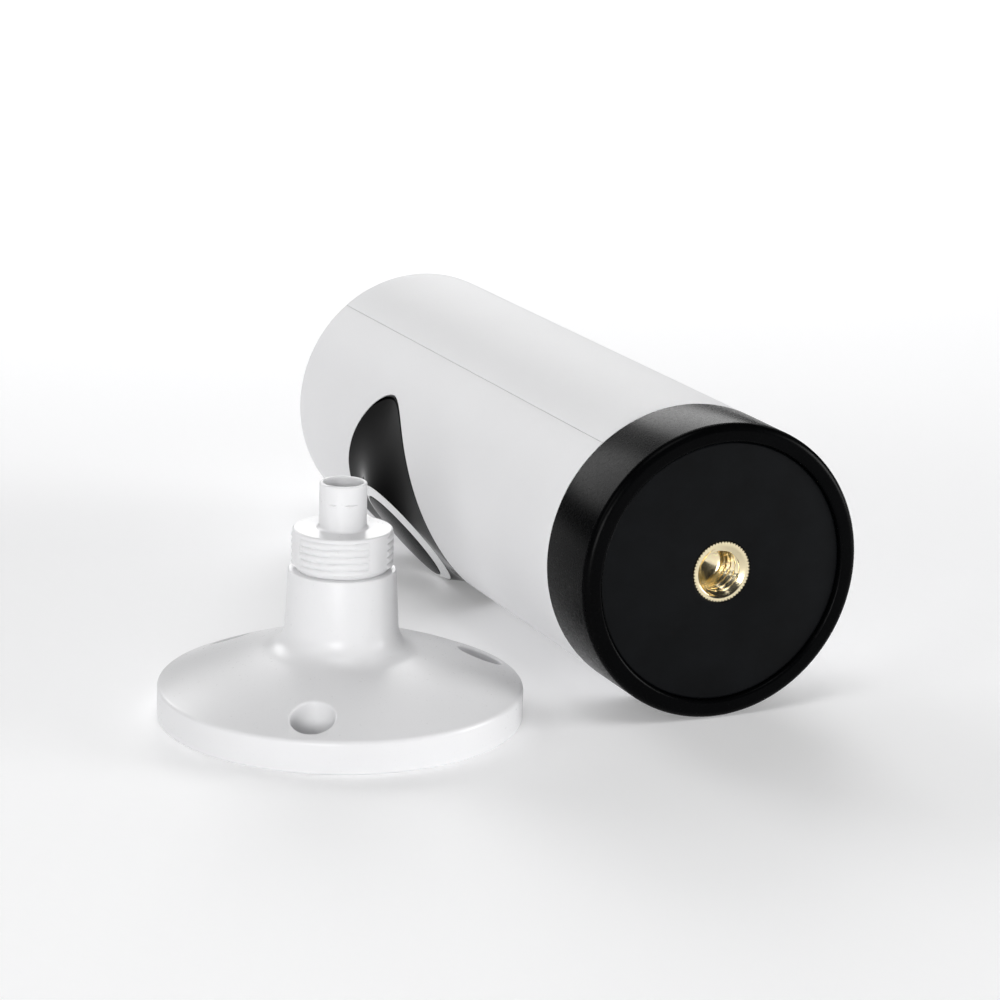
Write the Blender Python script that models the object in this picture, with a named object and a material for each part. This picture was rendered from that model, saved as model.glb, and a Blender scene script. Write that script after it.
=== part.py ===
"""Small cylindrical indoor security camera lying on its side beside its loose wall bracket.

The camera is modelled upright in its own frame: its axis is +Z, its base face is at z = 0 and its
eye looks along -Y. An empty then lays it on the surface at z = 0, next to the bracket, which stands
on its flange at the origin. Lengths are metres.
"""
import math

import bmesh
import bpy
from mathutils import Matrix

MM = 0.001
GAP = 0.3 * MM                     # clearance between neighbouring pieces

# ---- arrangement -------------------------------------------------------------------------------
EYE_DIP = math.radians(38.5)       # the eye looks this far below the horizontal, towards -X
SIDE_GAP = 2.3 * MM                # between the flange's rim and the camera's side, seen from above
CAMERA_Y = -19.4 * MM              # plane of the camera's base face

# ---- camera casing -----------------------------------------------------------------------------
BODY_R = 21.0 * MM
BODY_L = 110.7 * MM
SHELL_WALL = 1.8 * MM
TOP_WALL = 2.0 * MM
SEAM_LIP = 1.6 * MM                # how far the rear shell's tongue reaches behind the front shell
CAP_L = 12.4 * MM                  # black base cap, seen length
CAP_ROUND = 1.1 * MM               # rounded outer edge of the cap
CAP_SPIGOT = 4.0 * MM              # height of the ring that centres the shells
CAP_WALL = 2.0 * MM                # that ring's wall
CAP_FLOOR = 3.0 * MM
CAP_RIM = 2.6 * MM                 # width of the rim around the recess in the cap's face
PAD_STEP = 0.6 * MM                # the pad lies this far below the rim
PAD_T = 1.5 * MM

# ---- tripod insert -----------------------------------------------------------------------------
INSERT_R = 4.35 * MM
INSERT_MOUTH_R = 3.65 * MM
INSERT_BORE_R = 3.05 * MM
INSERT_L = 8.6 * MM
INSERT_DEPTH = 6.6 * MM
BOSS_WALL = 2.4 * MM

# ---- eye ---------------------------------------------------------------------------------------
EYE_Z = 74.8 * MM                  # height of the lens axis above the base face
EYE_TURN = math.radians(65.4)      # the opening reaches this far round the shell to each side
EYE_UP = 16.6 * MM                 # from the lens axis to the opening's top
EYE_DOWN = 18.6 * MM               # from the lens axis to the opening's lower tip
EYE_UP_POWER = 2.0                 # outline exponents: 2 is an ellipse, less is more pointed
EYE_DOWN_POWER = 1.72
BEZEL_BULGE = 1.03                 # above 1 the black surround swells between its two edges
BEZEL_FLANGE = 1.0 * MM            # rim that holds the surround behind the shell
BEZEL_TUBE = 5.5 * MM              # length of the tube behind the ring
GLASS_R = 8.2 * MM
GLASS_T = 1.3 * MM
RING_W = 1.4 * MM                  # width of the white ring around the glass
RING_RISE = 0.8 * MM               # the ring slopes forward this much from its outer edge inwards
RING_DEPTH = 1.9 * MM
RING_STAND = 1.89 * MM             # the seat of the ring stands this far out of the shell's round
LEDGE = 0.75 * MM                  # shelf inside the ring that carries the glass

# ---- lens, filter switch and sensor, distances in front of the camera's axis -----------------
BOARD_T = 1.0 * MM
SENSOR_BOARD_W = 17.0 * MM
SENSOR_BOARD_FRONT = 6.9 * MM
SENSOR_W, SENSOR_H, SENSOR_T = 6.4 * MM, 5.4 * MM, 0.7 * MM
MOUNT_W = 13.0 * MM
MOUNT_DEPTH = 6.8 * MM
BARREL_R = 4.0 * MM
BARREL_HEAD_R = 4.4 * MM
BARREL_CLEAR = 0.5 * MM            # between the barrel and the glass
BARREL_HEAD_L = 3.9 * MM
FILTER_T = 1.0 * MM
FILTER_WINDOW = 5.2 * MM
FILTER_RIB = 0.6 * MM              # between the two windows
FILTER_EDGE = 0.8 * MM
PANE_T = 0.5 * MM
ARM_R = 5.0 * MM                   # from the arm's pivot to its pin
PIN_R = 0.4 * MM
PRONG = 0.8 * MM
SHAFT_R = 0.6 * MM
MOTOR_W, MOTOR_H, MOTOR_T = 10.0 * MM, 8.2 * MM, 2.9 * MM
LED_BOARD_DEPTH = 3.6 * MM         # from the back of the glass to the back of the ring board
LED_X = 6.2 * MM
LED_R = 1.3 * MM
LED_H = 1.9 * MM

# ---- electronics and chassis, distances behind the camera's axis ------------------------------
SPINE_FRONT = 6.0 * MM
SPINE_T = 1.6 * MM
SPINE_W = 26.0 * MM
SPINE_CLEAR = 5.2 * MM             # between the spine and the closed top
FOOT_Z = 12.0 * MM
FOOT_T = 2.0 * MM
STANDOFF_H = 1.1 * MM
MAIN_W = 28.0 * MM
MAIN_BOTTOM = 18.0 * MM
MAIN_TOP = 79.0 * MM
MAIN_T = 1.2 * MM
SCREW_INSET = 3.2 * MM             # board screws, from the board's edges
PORT_Z = 25.0 * MM                 # power inlet
PORT_W, PORT_H = 7.6 * MM, 2.8 * MM
PORT_SETBACK = 0.9 * MM            # the inlet's mouth lies this far inside the shell
RESET_Z = 35.0 * MM
RESET_R = 1.5 * MM
RESET_TRAVEL = 0.4 * MM
MIC_Z = 43.0 * MM
MIC_R = 2.0 * MM
CHIP_Z = 58.0 * MM
CHIP_W = 12.0 * MM
SINK_H = 3.6 * MM
RADIO_Z = 72.0 * MM
SPEAKER_Z = 93.0 * MM
SPEAKER_R = 11.5 * MM
GRILLE_SLOTS = 5
GRILLE_PITCH = 2.6 * MM
GRILLE_SLOT_H = 1.2 * MM
GRILLE_R = 7.5 * MM

# ---- screws ------------------------------------------------------------------------------------
CAP_SCREWS = 3
CAP_SCREW_RING = 12.0 * MM
SCREW_R = 1.0 * MM
SCREW_HEAD_R = 2.0 * MM
SCREW_HEAD_H = 1.2 * MM

# ---- bracket -----------------------------------------------------------------------------------
FLANGE_R = 25.2 * MM
FLANGE_RIM = 4.4 * MM
DOME_RISE = 6.15 * MM
STEM_R = 7.8 * MM                  # just above the foot
STEM_TOP_R = 7.4 * MM
STEM_TOP = 20.95 * MM
STEM_FOOT_W = 3.2 * MM             # reach of the hollow fillet around the stem's foot
STEM_FOOT_H = 3.4 * MM
SOCKET_R = 5.8 * MM
SOCKET_FLOOR = 12.0 * MM
FLANGE_HOLES = 3
HOLE_INSET = 4.5 * MM              # from the flange's rim to the middle of a hole
HOLE_R = 2.1 * MM
COUNTERBORE_R = 3.0 * MM
COUNTERBORE_FLOOR = 2.6 * MM
HOLE_TURN = math.radians(238.8)    # direction of the first flange hole
COLLAR_TOP = 26.65 * MM
COLLAR_R = 7.0 * MM
THREAD_PITCH = 0.95 * MM
THREAD_DEPTH = 0.32 * MM
THREAD_TURNS = 5
STUD_R = 3.25 * MM
STUD_TOP = 33.05 * MM
STUD_WALL = 0.55 * MM
STUD_BORE_DEPTH = 4.5 * MM

FINE, MEDIUM, COARSE, TINY = 60, 40, 20, 12  # facets of round pieces, from large to tiny

# ---- worked-out sizes --------------------------------------------------------------------------
CAMERA_X = FLANGE_R + SIDE_GAP + BODY_R
SHELL_R = BODY_R - SHELL_WALL
SHELL_BOTTOM = CAP_L + GAP
PAD_R = BODY_R - CAP_RIM
PAD_BACK = PAD_STEP + PAD_T
FLOOR_BACK = PAD_BACK + GAP + CAP_FLOOR
BOARD_BACK = SPINE_FRONT + SPINE_T + STANDOFF_H + GAP
CHIP_FACE = BOARD_BACK + MAIN_T + GAP
INLET_END = SHELL_R - PORT_SETBACK
SPINE_TOP = BODY_L - TOP_WALL - SPINE_CLEAR
EYE_HALF_W = BODY_R * math.sin(EYE_TURN)
RING_R = GLASS_R + GAP + RING_W
RING_EDGE = math.sqrt((BODY_R + RING_STAND) ** 2 - (RING_R + GAP) ** 2)
GLASS_FRONT = RING_EDGE + RING_RISE
BEZEL_BACK = RING_EDGE - BEZEL_TUBE
BARREL_FRONT = GLASS_FRONT - GLASS_T - BARREL_CLEAR
LED_BOARD_R = GLASS_R - GAP
LED_BOARD_BACK = GLASS_FRONT - GLASS_T - LED_BOARD_DEPTH
MOUNT_BACK = SENSOR_BOARD_FRONT + GAP
FILTER_STEP = FILTER_WINDOW + FILTER_RIB
FILTER_BACK = MOUNT_BACK + SENSOR_T + 2 * GAP + 0.1 * MM
ARM_SWING = 2 * math.asin(FILTER_STEP / 2 / ARM_R)
PIVOT_UP = MOUNT_W / 2 + 1.0 * MM + ARM_R
STEM_FOOT_R = STEM_R + STEM_FOOT_W
HOLE_RING = FLANGE_R - HOLE_INSET
STUD_BORE_R = STUD_R - STUD_WALL


def make_material(name, colour, roughness, metallic=0.0):
    material = bpy.data.materials.new(name)
    material.use_nodes = True
    shader = material.node_tree.nodes["Principled BSDF"]
    shader.inputs["Base Color"].default_value = (*colour, 1.0)
    shader.inputs["Roughness"].default_value = roughness
    shader.inputs["Metallic"].default_value = metallic
    return material


def make_frame(name, location, rotation=(0.0, 0.0, 0.0), parent=None):
    """An empty that carries pieces."""
    frame = bpy.data.objects.new(name, None)
    bpy.context.scene.collection.objects.link(frame)
    frame.location = location
    frame.rotation_euler = rotation
    frame.parent = parent
    return frame


def place(name, bm, material, parent, location=(0.0, 0.0, 0.0)):
    """Turn a bmesh into a named, shaded object in its parent's frame."""
    bmesh.ops.recalc_face_normals(bm, faces=bm.faces)
    mesh = bpy.data.meshes.new(name)
    bm.to_mesh(mesh)
    bm.free()
    mesh.materials.append(material)
    mesh.shade_smooth()
    mesh.set_sharp_from_angle(angle=math.radians(30))
    item = bpy.data.objects.new(name, mesh)
    bpy.context.scene.collection.objects.link(item)
    item.location = location
    item.parent = parent
    return item


def as_tool(item):
    item.hide_render = True
    item.display_type = "WIRE"
    return item


def combine(item, tool, operation):
    step = item.modifiers.new(f"{operation.lower()}_{tool.name}", "BOOLEAN")
    step.operation = operation
    step.solver = "EXACT"
    step.object = as_tool(tool)


def cut(item, *tools):
    for tool in tools:
        combine(item, tool, "DIFFERENCE")


def join(item, *tools):
    for tool in tools:
        combine(item, tool, "UNION")


def loft(loops, closed):
    """Faces between successive loops; a loop of one point is a pole. closed joins last to first."""
    bm = bmesh.new()
    rings = []
    count = max(len(loop) for loop in loops)
    for loop in loops:
        ring = [bm.verts.new(point) for point in loop]
        rings.append(ring * count if len(ring) == 1 else ring)
    pairs = list(zip(rings, rings[1:]))
    if closed:
        pairs.append((rings[-1], rings[0]))
    for lower, upper in pairs:
        cap = flat_cap(lower, upper)
        if cap:
            bm.faces.new(cap)
            continue
        for k in range(count):
            after = (k + 1) % count
            corners = dict.fromkeys((lower[k], lower[after], upper[after], upper[k]))
            if len(corners) > 2:
                bm.faces.new(corners)
    bmesh.ops.delete(bm, geom=[v for v in bm.verts if not v.link_faces], context="VERTS")
    return bm


def flat_cap(lower, upper):
    """The ring that one flat face closes, where a pole lies level with its ring."""
    for pole, ring in ((lower, upper), (upper, lower)):
        if pole[0] is pole[1] and ring[0] is not ring[1] and pole[0].co.z == ring[0].co.z:
            return ring
    return None


def turned(profile, facets):
    """Solid of revolution about Z from a closed profile of (radius, height) points."""
    loops = []
    for radius, height in profile:
        if radius == 0.0:
            loops.append([(0.0, 0.0, height)])
            continue
        turn = [2 * math.pi * k / facets for k in range(facets)]
        loops.append([(radius * math.cos(a), radius * math.sin(a), height) for a in turn])
    return loft(loops, closed=profile[0][0] != 0.0 or profile[-1][0] != 0.0)


def rod(radius, low, high, facets=COARSE):
    return turned([(0.0, low), (radius, low), (radius, high), (0.0, high)], facets)


def add_block(bm, corners):
    """Add a box between two opposite corners."""
    low, high = corners
    size = [b - a for a, b in zip(low, high)]
    middle = [(a + b) / 2 for a, b in zip(low, high)]
    bmesh.ops.create_cube(bm, size=1.0, matrix=Matrix.Translation(middle) @ Matrix.Diagonal((*size, 1.0)))


def block(low, high):
    bm = bmesh.new()
    add_block(bm, (low, high))
    return bm


def slab_corners(width, height, back, front, x, y):
    return (x - width / 2, y - height / 2, back), (x + width / 2, y + height / 2, front)


def slab(width, height, back, front, x=0.0, y=0.0):
    """Box centred on (x, y), from back to front along Z."""
    return block(*slab_corners(width, height, back, front, x, y))


def arc(centre, radius, start, stop, steps):
    """Points of a (radius, height) arc; angles in degrees from the outward direction."""
    points = []
    for k in range(steps + 1):
        a = math.radians(start + (stop - start) * k / steps)
        points.append((centre[0] + radius * math.cos(a), centre[1] + radius * math.sin(a)))
    return points


def eye_outline(grow, radius):
    """The eye's outline on a cylinder about the camera's axis, in the eye's frame."""
    points = []
    for k in range(FINE):
        a = 2 * math.pi * k / FINE
        power, reach = (EYE_UP_POWER, EYE_UP) if math.sin(a) >= 0 else (EYE_DOWN_POWER, EYE_DOWN)
        across = (EYE_HALF_W + grow) * math.copysign(abs(math.cos(a)) ** (2 / power), math.cos(a))
        up = (reach + grow) * math.copysign(abs(math.sin(a)) ** (2 / power), math.sin(a))
        turn = math.asin(across / BODY_R)
        points.append((radius * math.sin(turn), up, radius * math.cos(turn)))
    return points


def eye_circle(radius, front):
    turn = [2 * math.pi * k / FINE for k in range(FINE)]
    return [(radius * math.cos(a), radius * math.sin(a), front) for a in turn]


def swell(outer, inner, share):
    """A loop part of the way from outer to inner, raised towards the front."""
    rise = 1 - (1 - share) ** BEZEL_BULGE
    return [
        (a[0] + (b[0] - a[0]) * share, a[1] + (b[1] - a[1]) * share, a[2] + (b[2] - a[2]) * rise)
        for a, b in zip(outer, inner)
    ]


def make_shells(frame, eye, back, paint):
    """Two half tubes with closed tops; the rear one has a tongue behind the seam."""
    halves = {}
    for name, side in (("front_shell", -1), ("rear_shell", 1)):
        profile = [
            (0.0, BODY_L), (BODY_R - 0.3 * MM, BODY_L), (BODY_R, BODY_L - 0.3 * MM),
            (BODY_R, SHELL_BOTTOM), (SHELL_R, SHELL_BOTTOM), (SHELL_R, BODY_L - TOP_WALL),
            (0.0, BODY_L - TOP_WALL),
        ]
        shell = place(name, turned(profile, FINE), paint, frame)
        reach = 2 * BODY_R
        near, far = sorted((side * GAP / 2, -side * reach))
        half = block((-reach, near, -reach), (reach, far, BODY_L + reach))
        cut(shell, place(f"{name}_half", half, paint, frame))
        halves[name] = shell
    tongue_r = SHELL_R + SHELL_WALL / 2
    for x in (-1, 1):
        depth = 1.2 * MM
        low, high = sorted((x * (SHELL_R - depth), x * (tongue_r + 0.5 * MM)))
        foot = CAP_L + CAP_SPIGOT + GAP
        strip = block((low, -SEAM_LIP, foot), (high, GAP + 1.5 * MM, BODY_L - TOP_WALL - GAP))
        tongue = place(f"tongue_{x}", strip, paint, frame)
        limit = turned([
            (SHELL_R - 0.9 * MM, 0.0), (tongue_r - GAP, 0.0),
            (tongue_r - GAP, BODY_L + GAP), (SHELL_R - 0.9 * MM, BODY_L + GAP),
        ], FINE)
        combine(tongue, place(f"tongue_limit_{x}", limit, paint, frame), "INTERSECT")
        join(halves["rear_shell"], tongue)
        low, high = sorted((x * (SHELL_R - 3 * MM), x * BODY_R))
        strip = block((low, -SEAM_LIP - GAP, 0.0), (high, BODY_R, BODY_L - TOP_WALL))
        rebate = place(f"rebate_{x}", strip, paint, frame)
        groove = turned([
            (SHELL_R - 2 * MM, -GAP), (tongue_r, -GAP), (tongue_r, BODY_L), (SHELL_R - 2 * MM, BODY_L),
        ], FINE)
        combine(rebate, place(f"rebate_limit_{x}", groove, paint, frame), "INTERSECT")
        cut(halves["front_shell"], rebate)
    inner, outer = SHELL_R - 1.5 * MM, BODY_R + 1.5 * MM
    rim, far = eye_outline(0.0, outer), 1.5 * BODY_R
    opening = loft([
        [(0.0, 0.0, inner * 0.9)], eye_outline(0.0, inner), rim, [(x, y, far) for x, y, _ in rim],
        [(0.0, 0.0, far)],
    ], closed=False)
    cut(halves["front_shell"], place("eye_opening", opening, paint, eye))
    port = slab(PORT_W + 2.6 * MM, PORT_H + 2.8 * MM, SHELL_R - 2 * MM, BODY_R + 2 * MM, y=-PORT_Z)
    cut(halves["rear_shell"], place("port_opening", port, paint, back))
    for name, radius, height in (("reset_hole", RESET_R + GAP, RESET_Z), ("mic_hole", 0.6 * MM, MIC_Z)):
        hole = rod(radius, SHELL_R - 2 * MM, BODY_R + 2 * MM, TINY)
        cut(halves["rear_shell"], place(name, hole, paint, back, (0.0, -height, 0.0)))
    slots = bmesh.new()
    for k in range(GRILLE_SLOTS):
        offset = (k - (GRILLE_SLOTS - 1) / 2) * GRILLE_PITCH
        width = 2 * math.sqrt(GRILLE_R ** 2 - offset ** 2)
        add_block(slots, slab_corners(width, GRILLE_SLOT_H, SHELL_R - 3 * MM, BODY_R + 2 * MM, 0.0, offset))
    cut(halves["rear_shell"], place("grille_slots", slots, paint, back, (0.0, -SPEAKER_Z, 0.0)))


def make_base(frame, black, rubber, brass, steel):
    """Base cap with its pad, tripod insert and the screws that the pad hides."""
    boss_r = INSERT_R + GAP + BOSS_WALL
    spigot_r = SHELL_R - GAP
    profile = [(BODY_R - CAP_ROUND, 0.0), (PAD_R + 0.5 * MM, 0.0), (PAD_R, 0.4 * MM)]
    profile += [(PAD_R, PAD_BACK + GAP), (INSERT_R + GAP, PAD_BACK + GAP)]
    profile += [(INSERT_R + GAP, FOOT_Z - 2 * GAP), (boss_r, FOOT_Z - 2 * GAP), (boss_r, FLOOR_BACK)]
    profile += [(spigot_r - CAP_WALL, FLOOR_BACK), (spigot_r - CAP_WALL, CAP_L + CAP_SPIGOT)]
    profile += [(spigot_r, CAP_L + CAP_SPIGOT), (spigot_r, CAP_L), (BODY_R, CAP_L)]
    profile += arc((BODY_R - CAP_ROUND, CAP_ROUND), CAP_ROUND, 0, -60, 2)
    cap = place("base_cap", turned(profile, FINE), black, frame)

    pad_r = PAD_R - GAP
    profile = [
        (INSERT_R + GAP, PAD_STEP), (INSERT_R + GAP, PAD_BACK), (pad_r, PAD_BACK),
        (pad_r, PAD_STEP + 0.3 * MM), (pad_r - 0.3 * MM, PAD_STEP),
    ]
    place("base_pad", turned(profile, FINE), rubber, frame)

    low, top = PAD_STEP, PAD_STEP + INSERT_L
    profile = [
        (INSERT_MOUTH_R, low), (INSERT_R, low), (INSERT_R, top), (0.0, top),
        (0.0, low + INSERT_DEPTH + 0.9 * MM), (INSERT_BORE_R, low + INSERT_DEPTH),
        (INSERT_BORE_R, low + INSERT_MOUTH_R - INSERT_BORE_R),
    ]
    place("tripod_insert", turned(profile, MEDIUM), brass, frame)

    head = PAD_BACK + 2 * GAP
    for k in range(CAP_SCREWS):
        a = math.pi / 2 + 2 * math.pi * k / CAP_SCREWS
        spot = (CAP_SCREW_RING * math.cos(a), CAP_SCREW_RING * math.sin(a), 0.0)
        hole = turned([
            (0.0, 0.0), (SCREW_HEAD_R + GAP, 0.0), (SCREW_HEAD_R + GAP, head + SCREW_HEAD_H + GAP),
            (SCREW_R + GAP, head + SCREW_HEAD_H + GAP), (SCREW_R + GAP, FLOOR_BACK + MM),
            (0.0, FLOOR_BACK + MM),
        ], COARSE)
        cut(cap, place(f"cap_screw_hole_{k + 1}", hole, black, frame, spot))
        make_screw(f"cap_screw_{k + 1}", steel, frame, spot, head, FOOT_Z + FOOT_T - head)


def make_screw(name, steel, parent, spot, head, length):
    """Screw along +Z whose head starts at the given height."""
    neck = head + SCREW_HEAD_H
    profile = [(0.0, head), (SCREW_HEAD_R, head), (SCREW_HEAD_R, neck), (SCREW_R, neck)]
    profile += [(SCREW_R, head + length - 0.5 * MM), (0.0, head + length)]
    screw = place(name, turned(profile, TINY), steel, parent, spot)
    depth = 0.6 * MM
    slot = slab(0.5 * MM, 2.2 * SCREW_HEAD_R, head - MM, head + depth)
    cut(screw, place(f"{name}_slot", slot, steel, parent, spot))


def make_eye(eye, gloss, white, glass):
    """Black surround, white ring and tinted front glass."""
    bore = RING_R + GAP
    seat = RING_EDGE - RING_DEPTH - GAP
    tube = GLASS_R + GAP
    skirt = BEZEL_FLANGE + GAP
    behind = SHELL_R - GAP
    rim = eye_outline(-GAP, BODY_R)
    front = eye_circle(bore, RING_EDGE)
    loops = [rim] + [swell(rim, front, k / 4) for k in range(1, 4)] + [front]
    loops += [eye_circle(bore, seat), eye_circle(tube, seat), eye_circle(tube, BEZEL_BACK)]
    loops += [eye_circle(bore, BEZEL_BACK), eye_outline(-GAP - skirt, behind - 1.4 * MM)]
    loops += [eye_outline(BEZEL_FLANGE, behind - 1.2 * MM), eye_outline(BEZEL_FLANGE, behind)]
    loops += [eye_outline(-GAP, behind)]
    place("eye_bezel", loft(loops, closed=True), gloss, eye)

    inner = GLASS_R + GAP
    shelf = GLASS_FRONT - GLASS_T - GAP
    back = RING_EDGE - RING_DEPTH
    edge = 0.25 * MM
    profile = [
        (RING_R, back), (RING_R, RING_EDGE - edge), (RING_R - edge, RING_EDGE),
        (inner + edge, GLASS_FRONT), (inner, GLASS_FRONT - edge), (inner, shelf),
        (inner - LEDGE, shelf), (inner - LEDGE, back),
    ]
    place("eye_ring", turned(profile, MEDIUM), white, eye)
    place("front_glass", rod(GLASS_R, GLASS_FRONT - GLASS_T, GLASS_FRONT, MEDIUM), glass, eye)


def make_lens(eye, black, dark, glass, chip, green):
    """Lens barrel and its mount on the sensor board."""
    head = BARREL_FRONT - BARREL_HEAD_L
    tail = FILTER_BACK + FILTER_T + 2 * GAP
    cup, seat = 3.4 * MM, BARREL_FRONT - 1.6 * MM
    profile = [
        (0.0, tail), (BARREL_R, tail), (BARREL_R, head), (BARREL_HEAD_R, head),
        (BARREL_HEAD_R, BARREL_FRONT), (cup, BARREL_FRONT), (cup - 0.6 * MM, seat), (0.0, seat),
    ]
    place("lens_barrel", turned(profile, MEDIUM), dark, eye)
    element = 2.4 * MM
    base, crown = seat + GAP, 0.9 * MM
    profile = [(0.0, base), (element, base), (element, base + 0.1 * MM)]
    profile += [(element * math.sin(a), base + crown * math.cos(a)) for a in (1.0, 0.5)]
    profile.append((0.0, base + crown))
    place("lens_element", turned(profile, COARSE), glass, eye)

    front = MOUNT_BACK + MOUNT_DEPTH
    mount = place("lens_mount", slab(MOUNT_W, MOUNT_W, MOUNT_BACK, front), black, eye)
    track_h = FILTER_WINDOW + 2 * FILTER_EDGE + 2 * GAP
    low, high = FILTER_BACK - GAP, FILTER_BACK + FILTER_T + GAP
    window = slab(SENSOR_W + 2 * GAP, SENSOR_H + 2 * GAP, MOUNT_BACK - MM, FILTER_BACK)
    track = slab(MOUNT_W + 4 * MM, track_h, low, high)
    lug_way = FILTER_STEP + 2 * (PIN_R + GAP + PRONG + GAP)
    way = slab(lug_way, MOUNT_W, low, high, y=MOUNT_W / 2)
    socket = rod(BARREL_R + GAP, FILTER_BACK, front + MM)
    cut(mount, place("sensor_window", window, black, eye), place("filter_track", track, black, eye))
    cut(mount, place("lug_way", way, black, eye), place("barrel_socket", socket, black, eye))

    board = slab(SENSOR_BOARD_W, SENSOR_BOARD_W, SENSOR_BOARD_FRONT - BOARD_T, SENSOR_BOARD_FRONT)
    place("sensor_board", board, green, eye)
    place("image_sensor", slab(SENSOR_W, SENSOR_H, MOUNT_BACK, MOUNT_BACK + SENSOR_T), chip, eye)


def make_filter(eye, black, red_glass, clear_glass, coil):
    """Day and night filter: a framed pair of panes that a small swinging arm slides across."""
    rest = -FILTER_STEP / 2
    carriage = make_frame("filter_slide_axis", (rest, 0.0, FILTER_BACK), parent=eye)
    half_w = FILTER_STEP / 2 + FILTER_WINDOW / 2 + FILTER_EDGE
    half_h = FILTER_WINDOW / 2 + FILTER_EDGE
    slit = PIN_R + GAP
    lug = slit + PRONG
    lug_top = PIVOT_UP - ARM_R * math.cos(ARM_SWING / 2) + PIN_R
    notch = PIVOT_UP - ARM_R - PIN_R - GAP
    outline = [
        (-half_w, -half_h), (half_w, -half_h), (half_w, half_h), (lug, half_h), (lug, lug_top),
        (slit, lug_top), (slit, notch), (-slit, notch), (-slit, lug_top), (-lug, lug_top),
        (-lug, half_h), (-half_w, half_h),
    ]
    bottom = [(x, y, 0.0) for x, y in outline]
    top = [(x, y, FILTER_T) for x, y in outline]
    bm = loft([bottom, top], closed=False)
    bm.verts.ensure_lookup_table()
    bm.faces.new(bm.verts[:len(outline)])
    bm.faces.new(bm.verts[len(outline):])
    plate = place("filter_frame", bm, black, carriage)
    for name, glass, x in (("ir_filter", red_glass, 1), ("clear_filter", clear_glass, -1)):
        centre = x * FILTER_STEP / 2
        hole = slab(FILTER_WINDOW, FILTER_WINDOW, -MM, FILTER_T + MM, x=centre)
        cut(plate, place(f"{name}_hole", hole, black, carriage))
        pane_w = FILTER_WINDOW - 2 * GAP
        low = (FILTER_T - PANE_T) / 2
        place(name, slab(pane_w, pane_w, low, low + PANE_T, x=centre), glass, carriage)

    lever_back = FILTER_BACK + FILTER_T + GAP
    lever_t = 0.8 * MM
    pivot = make_frame("filter_arm_axis", (0.0, PIVOT_UP, lever_back), (0.0, 0.0, -ARM_SWING / 2), eye)
    arm = place("filter_arm", slab(1.2 * MM, ARM_R, 0.0, lever_t, y=-ARM_R / 2), black, pivot)
    inset = 0.1 * MM
    hub = place("arm_hub", rod(1.1 * MM, inset, lever_t - inset, TINY), black, pivot)
    shaft = place("arm_shaft", rod(SHAFT_R, lever_t / 2, lever_t + 2 * MM, TINY), black, pivot)
    pin = rod(PIN_R, -GAP - FILTER_T * 0.7, lever_t - inset, TINY)
    pin = place("arm_pin", pin, black, pivot, (0.0, -ARM_R, 0.0))
    join(arm, hub, shaft, pin)

    motor_back = lever_back + lever_t + GAP
    foot = MOUNT_W / 2 + GAP
    low, high = (-MOTOR_W / 2, foot, motor_back), (MOTOR_W / 2, foot + MOTOR_H, motor_back + MOTOR_T)
    motor = place("filter_motor", block(low, high), coil, eye)
    bearing = rod(SHAFT_R + GAP, motor_back - MM, lever_back + lever_t + 2 * MM + GAP, TINY)
    cut(motor, place("motor_bearing", bearing, coil, eye, (0.0, PIVOT_UP, 0.0)))


def make_lights(eye, green, led, chip):
    """Ring board behind the glass with two infrared lights and a light sensor."""
    hole = BARREL_HEAD_R + 2 * GAP
    front = LED_BOARD_BACK + BOARD_T
    profile = [(hole, LED_BOARD_BACK), (LED_BOARD_R, LED_BOARD_BACK), (LED_BOARD_R, front), (hole, front)]
    place("light_board", turned(profile, MEDIUM), green, eye)
    base = front + GAP
    waist = base + 0.55 * LED_H
    profile = [(0.0, base), (LED_R, base), (LED_R, waist)]
    profile += [(LED_R * math.cos(a), waist + 0.45 * LED_H * math.sin(a)) for a in (0.5, 1.0)]
    profile += [(0.0, base + LED_H)]
    for name, x in (("ir_light_left", -1), ("ir_light_right", 1)):
        place(name, turned(profile, COARSE), led, eye, (x * LED_X, 0.0, 0.0))
    place("light_sensor", slab(2.0 * MM, 1.2 * MM, base, base + 0.8 * MM, y=LED_X), chip, eye)
    place("status_light", slab(1.6 * MM, 0.8 * MM, base, base + 0.6 * MM, y=-LED_X), led, eye)


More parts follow.
